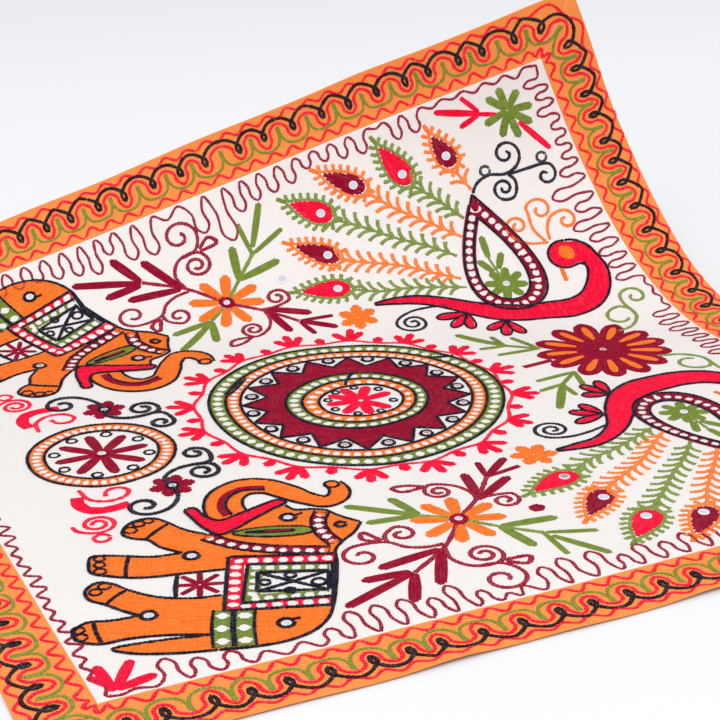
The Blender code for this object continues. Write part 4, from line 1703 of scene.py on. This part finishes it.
    def work_head(self, needle: Needle) -> None:
        """Stitches the trunk, tusks, ear, eye and forehead."""
        axis = spline([(x, y) for x, y, _ in self.trunk])
        half = np.interp(np.linspace(0, 1, len(axis)), np.linspace(0, 1, len(self.trunk)),
                         [width for _, _, width in self.trunk])
        left, right, outline = band(axis, half)
        needle.fill(Thread.ORANGE, outline, angle=25.0, lift=0.1)
        for side in (left[2:], right[8:]):
            needle.edge(side, 3.3, 0.6)
        needle.disc(Thread.ORANGE, (-103, 158), 6.5, lift=0.1)
        needle.ring(Thread.BLACK, (-103, 159), 6.5, width=3.2, lift=0.65)
        stripe = spline(((-206, 174), (-205, 156), (-196, 140), (-180, 132), (-158, 139)))
        needle.strap(Thread.MAROON, stripe, 8.2, 0.0, 9.0, lift=0.6)
        needle.edge(offset_line(stripe, 3.6), 3.0, 0.9)
        tusk = spline(self.tusk, closed=True)
        needle.fill(Thread.RED, tusk, angle=-15.0, lift=0.5)
        needle.edge(tusk, 3.3, 1.1)
        needle.blade(Thread.GREEN, (-214, 206), (-152, 229), 17.0, bend=-2.0, blunt=0.3, lift=0.4)
        needle.edge(drop((-215, 206), (-150, 230), 17.5, 0.3), 2.5, 0.8)
        needle.blade(Thread.BLACK, (-206, 209), (-164, 224), 6.0, lift=0.9)
        needle.blade(Thread.MAROON, (-190, 215), (-168, 223), 2.6, lift=1.3)
        needle.ring(Thread.BLACK, (-161.5, 199.5), 6.2, width=4.6, lift=0.7)
        needle.edge(axis_between((-156, 199), (-147, 197)), 3.2, 0.7)
        needle.ring(Thread.BLACK, (-127, 231), 4.4, width=4.6, lift=0.7)
        needle.strap(Thread.MAROON, spline(self.neck_strap), 12.0, 2.8, 10.6, lift=0.2, edged=True)
        needle.strap(Thread.MAROON, spline(self.head_strap), 12.5, 2.8, 10.2, lift=0.2, edged=True)

    def framed(self, corners: Sequence[Point], size: float) -> Array:
        """Draws the closed four-sided line through corners, grown or shrunk about its middle."""
        places = np.array(corners, dtype=float)
        middle = places.mean(axis=0)
        places = middle + (places - middle) * size
        sides = [np.linspace(places[i], places[(i + 1) % 4], 14)[:-1] for i in range(4)]
        return np.vstack(sides + [places[:1]])

    def work_saddle(self, needle: Needle) -> None:
        """Stitches the saddle cloth, the girth and the small star cloth between the legs."""
        for thread, corners, size, *sizes in ((Thread.RED, self.saddle, 0.845, 13.0, 3.4, 12.3),
                                              (Thread.GREEN, self.saddle_frame, 0.805, 12.0, 3.1, 11.0)):
            # three sides of the frame, drawn out by a step at both ends
            path = self.framed(corners, size)[:-1]
            path = np.roll(path, len(path) // 2, axis=0)[:3 * len(path) // 4 + 1]
            path = np.vstack((path[:1] * 2.0 - path[1], path, path[-1:] * 2.0 - path[-2]))
            needle.strap(thread, path, *sizes, lift=0.2)
        for corners in (self.saddle, self.saddle_frame, self.saddle_patch):
            needle.edge(self.framed(corners, 1.0), 3.9, 0.65)
        patch = self.saddle_patch
        for start, end in ((patch[0], patch[2]), (patch[1], patch[3])):
            needle.edge(axis_between(start, end), 4.4, 0.3)
        for x, y, radius in ((-221, 293, 4.4), (-198, 291, 4.4), (-208, 314, 4.4), (-182, 311, 5.6)):
            needle.ring(Thread.BLACK, (x, y), radius, width=3.6, lift=0.5)
        girth = spline(self.girth)
        for shift in (-8.5, 8.5):
            needle.strap(Thread.GREEN, offset_line(girth, shift), 15.0, 3.7, 16.0, lift=0.2, edged=True)
        cloth = np.array(self.star_cloth, dtype=float)
        needle.edge(np.vstack((cloth[3:], cloth[:1])), 3.6, 0.4)
        needle.petals(Thread.MAROON, (-268, 273), range(20, 380, 45), 0.0, 22.0, 5.0)


@dataclass
class GreatFlower:
    """The large flower on the right with its green sprigs and curls."""

    centre: Point = (277.0, 0.0)
    angles: Tuple[float, ...] = (19, 47, 78, 105, 138, 167, 193, 224, 250, 277, 304, 331, 355)
    sprigs: Tuple[BladeRow, ...] = ((195, 52, 159, 106, 8.8), (192, 56, 191, 86, 6), (192, 55, 163, 60, 6),
                                    (220, 33, 208, 74, 6), (220, 33, 172, 37, 6), (222, 31, 192, 56, 4.5))
    bow: Line = ((357, 58), (356, 74), (350, 81), (339, 81), (329, 74), (326, 65), (330, 57), (339, 54), (347, 58))
    hooks: Tuple[CurlRow, ...] = ((((318, 36), (340, 42), (356, 58), (357, 92)), 373, 90, 16.0, -1.1),)

    def work(self) -> Pieces:
        """Stitches the flower."""
        needle = Needle("great_flower", seed=81)
        for angle in self.angles:
            needle.petals(Thread.MAROON, self.centre, (angle,), 16.0, 72.0, 25.0, belly=0.66, blunt=0.42)
            needle.petals(Thread.ORANGE, self.centre, (angle,), 27.0, 62.0, 8.8, belly=0.75, blunt=0.15, lift=0.7)
        needle.disc(Thread.MAROON, self.centre, 20.0, lift=0.3)
        needle.ring(Thread.MAROON, self.centre, 5.4, lift=1.0)
        needle.strap(Thread.MAROON, axis_between((180, -3), (216, 0)), 6.5, 0.0, 9.0)
        for needle.half in both_halves(needle, (0.0, -4.0)):
            for x, y, tip_x, tip_y, width in self.sprigs:
                needle.blade(Thread.GREEN, (x, y), (tip_x, tip_y), width, blunt=0.7)
            needle.line(Thread.GREEN, spline(self.bow), width=4.6, opened=0.3)
            needle.curls(Thread.GREEN, self.hooks, 4.6, opened=0.3)
        return needle.finish()


@dataclass
class LeftGroup:
    """The wheel on the left with its scrolls, flowers and red curls."""

    wheel: Point = (-265.0, -6.0)
    # inner, middle and outer radius of the orange ring
    rim: Mark = (53.0, 59.3, 65.5)
    line_radii: Point = (67.0, 51.8)
    slots: int = 46
    flower: Point = (-233.0, 89.0)
    comma: Line = (
        (-304, 66), (-299, 91), (-285, 99), (-269, 95), (-264, 85), (-271, 77), (-282, 79), (-286, 89))
    hook: Line = ((-309, 80), (-312, 97), (-304, 111), (-290, 114), (-271, 112))
    scrolls: Tuple[CurlRow, ...] = (
        (((-233, 89), (-234, 72), (-222, 61), (-206, 58), (-193, 60)), -199, 74, 16.5, 1.4),
        (((-196, 60), (-185, 57), (-181, 47)), -193, 36, 13.5, -1.3),
        (((-233, 89), (-234, 107), (-241, 121), (-253, 131)), -267, 116, 18, 1.15))

    def work(self) -> Pieces:
        """Stitches the group."""
        needle = Needle("left_group", seed=91)
        self.work_wheel(needle)
        for needle.half in both_halves(needle, (4.0, -8.0)):
            needle.petals(Thread.MAROON, self.flower, range(0, 360, 60), 3.0, 22.0, 13.5, belly=0.65, blunt=0.75)
            needle.curls(Thread.BLACK, self.scrolls, 4.9, core=0.25, lift=0.7, opened=0.1)
            needle.disc(Thread.BLACK, self.flower, 7.5, lift=0.7)
            if needle.half is Half.NEAR:
                needle.half_shift = (-2.0, -1.0)
            needle.line(Thread.RED, spline(self.comma), width=5.2, opened=0.1)
            needle.strap(Thread.RED, spline(self.hook), 11.5, 0.0, 9.0)
            needle.line(Thread.RED, curl(((-329, 131), (-327, 142)), (-308, 136), 17.5, -1.9), width=5.2, opened=0.1)
            needle.ring(Thread.RED, (-312, 162.5), 6.8, width=4.4, opened=0.1)
        return needle.finish()

    def work_wheel(self, needle: Needle) -> None:
        """Stitches the wheel."""
        wobble = Wobble(0.0, 0.5, (0.0, 0.0))
        shapes = windowed_ring(self.rim, self.slots, 2.2, 4.0)
        needle.fill_round(Thread.ORANGE, self.wheel, shapes, self.rim[1], wobble)
        for radius in self.line_radii:
            needle.edge(wobble.circle(self.wheel, radius), 3.4, 0.5)
        for index in range(8):
            angle = 22.5 + 45.0 * index
            needle.petals(Thread.MAROON, self.wheel, (angle + 22.5,), 3.0, 45.0, 11.0, belly=0.6, blunt=0.6)
            needle.ring(Thread.BLACK, on_circle(self.wheel, 43.5, angle), 4.8, width=3.2)
        needle.ring(Thread.MAROON, self.wheel, 5.4, lift=0.8)


@dataclass
class CornerSprigs:
    """The small sprigs in the panel's corners."""

    flower: Point = (345.0, 358.0)
    # angle and length
    petals: Line = ((92, 29), (128, 29), (191, 31), (238, 32), (273, 35), (312, 33), (350, 30), (43, 27))
    blades: Tuple[BladeRow, ...] = (
        (316, 366, 266, 388, 8), (315, 368, 300, 393, 5.5), (314, 366, 287, 360, 6.5), (333, 358, 312, 367, 5),
        (352, 342, 375, 298, 7), (-376, 390, -378, 350, 9.5), (-374, 388, -351, 353, 9.5), (-374, 388, -340, 381, 10),
        (-374, 386, -388, 362, 7))

    def work(self) -> Pieces:
        """Stitches the sprigs."""
        needle = Needle("corner_sprigs", seed=101)
        for needle.half in both_halves(needle, (0.0, 0.0)):
            for angle, length in self.petals:
                needle.petals(Thread.GREEN, self.flower, (angle,), 0.0, length, 9.0, belly=0.75, blunt=0.65)
            for x, y, tip_x, tip_y, width in self.blades:
                needle.blade(Thread.RED, (x, y), (tip_x, tip_y), width, blunt=0.6)
        return needle.finish()


@dataclass
class Mirrors:
    """The small round mirrors that are sewn on the cloth."""

    sides: int = 28
    thickness: float = 1.0
    gap: float = 0.3
    star: Point = (-5.0, -1.0)
    star_circle: float = 104.0
    star_radius: float = 3.7
    rounding: float = 0.4
    # name, far x, far y, near x, near y, radius
    pairs: Tuple[Tuple[str, float, float, float, float, float], ...] = (
        ("feather_1", 81, 233, 87, -238, 4.9), ("feather_2", 90, 280, 96, -288, 4.9),
        ("feather_3", 104, 331, 109, -334, 4.9), ("feather_4", 151, 347, 156, -350, 4.9),
        ("feather_5", 207, 337, 212, -341, 4.9), ("feather_6", 261, 337, 266, -341, 4.9),
        ("wing_flower", 254, 165, 260, -170, 3.9), ("spray_flower", -38, 263, -34, -267, 3.6),
        ("scroll_flower", -233, 88, -229, -98, 3.6), ("eye", -161, 199, -162, -200, 3.6),
        ("front_knee", -258, 226, -258, -227, 4.0), ("back_knee", -320, 301, -320, -302, 4.0),
        ("rump", -230, 358, -230, -359, 4.0))
    # name, x, y, radius
    singles: Tuple[Tuple[str, float, float, float], ...] = (
        ("wheel", -265, -6, 4.0), ("great_flower", 277, 0, 3.6), ("lone", 31, 271, 6.0))

    def places(self) -> List[Tuple[str, Point, float]]:
        """Lists each mirror's node, place on the design and radius."""
        found: List[Tuple[str, Point, float]] = []
        for index in range(16):
            spot = on_circle(self.star, self.star_circle, 81.5 + 22.5 * index)
            found.append((f"mirror_star_{index + 1:02d}", spot, self.star_radius))
        for name, far_x, far_y, near_x, near_y, radius in self.pairs:
            found += [(f"mirror_{name}_far", (far_x, far_y), radius), (f"mirror_{name}_near", (near_x, near_y), radius)]
        return found + [(f"mirror_{name}", (x, y), radius) for name, x, y, radius in self.singles]

    def work(self) -> Pieces:
        """Makes all mirrors as one piece."""
        whole = bmesh.new()
        layer = whole.loops.layers.uv.new("disc")
        places = self.places()
        for _, spot, radius in places:
            centre = np.array((spot[0] + DESIGN_ORIGIN[0], spot[1] + DESIGN_ORIGIN[1]))
            foot = CLOTH_TOP + self.gap
            corners = [(*(centre + way), foot) for way in ((0.0, 0.0), (1.0, 0.0), (0.0, 1.0))]
            origin, right, ahead = (Vector(corner) for corner in CLOTH.lay(np.array(corners)))
            right, ahead = (right - origin).normalized(), (ahead - origin).normalized()
            normal = right.cross(ahead).normalized()
            ahead = normal.cross(right)
            facing = Matrix((right, ahead, normal)).transposed().to_4x4()
            middle = Matrix.Translation((0.0, 0.0, 0.5 * self.thickness))
            disc = bmesh.ops.create_cone(whole, cap_ends=True, segments=self.sides, radius1=radius, radius2=radius,
                                         depth=self.thickness, matrix=middle)["verts"]
            top = [edge for edge in {edge for vert in disc for edge in vert.link_edges}
                   if all(vert.co.z > 0.9 * self.thickness for vert in edge.verts)]
            bevelled = bmesh.ops.bevel(whole, geom=top, offset=self.rounding, offset_type="OFFSET", segments=3,
                                       profile=0.5, affect="EDGES", clamp_overlap=True, material=-1)
            disc = list({vert for vert in disc if vert.is_valid} | set(bevelled["verts"]))
            faces = [face for face in {face for vert in disc for face in vert.link_faces}
                     if len(face.verts) == self.sides and face.calc_center_median().z > 0.9 * self.thickness]
            disc += bmesh.ops.poke(whole, faces=faces)["verts"]
            for face in {face for vert in disc for face in vert.link_faces}:
                for loop in face.loops:
                    loop[layer].uv = (loop.vert.co.xy.length / radius, loop.vert.co.z)
            bmesh.ops.transform(whole, verts=disc, matrix=Matrix.Translation(origin) @ facing @ Matrix.Scale(MM, 4))
        bmesh.ops.recalc_face_normals(whole, faces=whole.faces[:])
        data = bpy.data.meshes.new("sewn_mirrors")
        whole.to_mesh(data)
        whole.free()
        piece = add_piece("sewn_mirrors", data, MirrorFinish().material())
        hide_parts(*(name for name, _, _ in places))
        LOG.info("sewn_mirrors: %d mirrors", len(places))
        return [piece]


@dataclass
class Studio:
    """The floor, the soft lights and the camera."""

    camera_place: Tuple[float, float, float] = (-0.6669, -1.4414, 0.6964)
    heading: Tuple[float, float] = (0.41713, 0.90885)
    pitch: float = 22.3887
    roll: float = -0.9959
    lens: float = 88.602
    # near and far colour of the floor, and where they begin and end; the far colour is paler as painted light, where
    # less lamp light reaches
    floor_colours: Tuple[Colour, Colour] = ((0.625, 0.628, 0.645), (0.735, 0.730, 0.742))
    floor_reach: Point = (-0.6, 1.3)

    # name, place, width, power
    lamps: Tuple[Tuple[str, Mark, float, float], ...] = (
        ("key", (-1.5, -2.1, 2.7), 2.4, 72.0), ("fill", (0.9, -2.0, 3.0), 2.8, 36.0))

    def work(self) -> None:
        """Sets up the studio."""
        self.add_floor()
        self.add_lights()
        self.add_camera()

    def add_floor(self) -> None:
        """Adds the pale floor, painted paler towards the back."""
        mesh = bmesh.new()
        bmesh.ops.create_grid(mesh, x_segments=8, y_segments=8, size=14.0,
                              matrix=Matrix.Translation((0.0, 0.0, -0.0003)))
        data = bpy.data.meshes.new("studio_floor")
        mesh.to_mesh(data)
        mesh.free()
        bench = NodeBench("pale_floor")
        place = bench.node("TexCoord", "Object", {})
        # painted light: the floor grows paler towards the back
        depth = bench.span(bench.node("SeparateXYZ", 1, {0: place}), *self.floor_reach)
        back = bench.maths("MULTIPLY_ADD", bench.noise(place, 3.0), 0.1, depth)
        bench.dress(Base_Color=bench.mix(back, *self.floor_colours), Roughness=0.75, Specular_IOR_Level=0.15)
        data.materials.append(bench.material)
        floor = bpy.data.objects.new("studio_floor", data)
        bpy.context.scene.collection.objects.link(floor)

    def add_lights(self) -> None:
        """Adds the sky light and two large soft lamps."""
        world = bpy.data.worlds.new("soft_sky")
        world.use_nodes = True
        sky = world.node_tree.nodes["Background"]
        sky.inputs["Color"].default_value = (0.96, 0.98, 1.0, 1.0)
        sky.inputs["Strength"].default_value = 0.98
        bpy.context.scene.world = world
        for name, place, size, power in self.lamps:
            data = bpy.data.lights.new(name, "AREA")
            data.size = size
            data.energy = power
            lamp = bpy.data.objects.new(name, data)
            lamp.location = place
            lamp.visible_glossy = False
            lamp.rotation_euler = (-Vector(place)).to_track_quat("-Z", "Y").to_euler()
            bpy.context.scene.collection.objects.link(lamp)

    def add_camera(self) -> None:
        """Adds the camera at the photograph's place."""
        tilt, roll = math.radians(self.pitch), math.radians(-self.roll)
        ahead = Vector((self.heading[0] * math.cos(tilt), self.heading[1] * math.cos(tilt), -math.sin(tilt)))
        level_right = Vector((self.heading[1], -self.heading[0], 0.0)).normalized()
        level_up = level_right.cross(ahead)
        right = level_right * math.cos(roll) - level_up * math.sin(roll)
        up = level_right * math.sin(roll) + level_up * math.cos(roll)
        data = bpy.data.cameras.new("camera")
        data.lens = self.lens
        data.sensor_width = 36.0
        data.clip_start, data.clip_end = 0.05, 60.0
        camera = bpy.data.objects.new("camera", data)
        turn = Matrix((right, up, -ahead)).transposed()
        camera.matrix_world = Matrix.Translation(self.camera_place) @ turn.to_4x4()
        bpy.context.scene.collection.objects.link(camera)
        bpy.context.scene.camera = camera
        bpy.context.scene.view_settings.view_transform = "Standard"


def main() -> None:
    """Builds the tapestry."""
    logging.basicConfig(level=logging.INFO, format="%(message)s")
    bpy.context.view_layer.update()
    Studio().work()
    sheets = ClothSheets()
    sheets.make_panel()
    for side, name in enumerate(("border_far", "border_left", "border_near", "border_right")):
        sheets.make_border(side, name)
    for assembly in (Mirrors(), BorderBand(), Meander(), Medallion(), Vine(), Sprays(), Peacocks(), Elephants(),
                     GreatFlower(), LeftGroup(), CornerSprigs()):
        assembly.work()


if __name__ == "__main__":
    main()
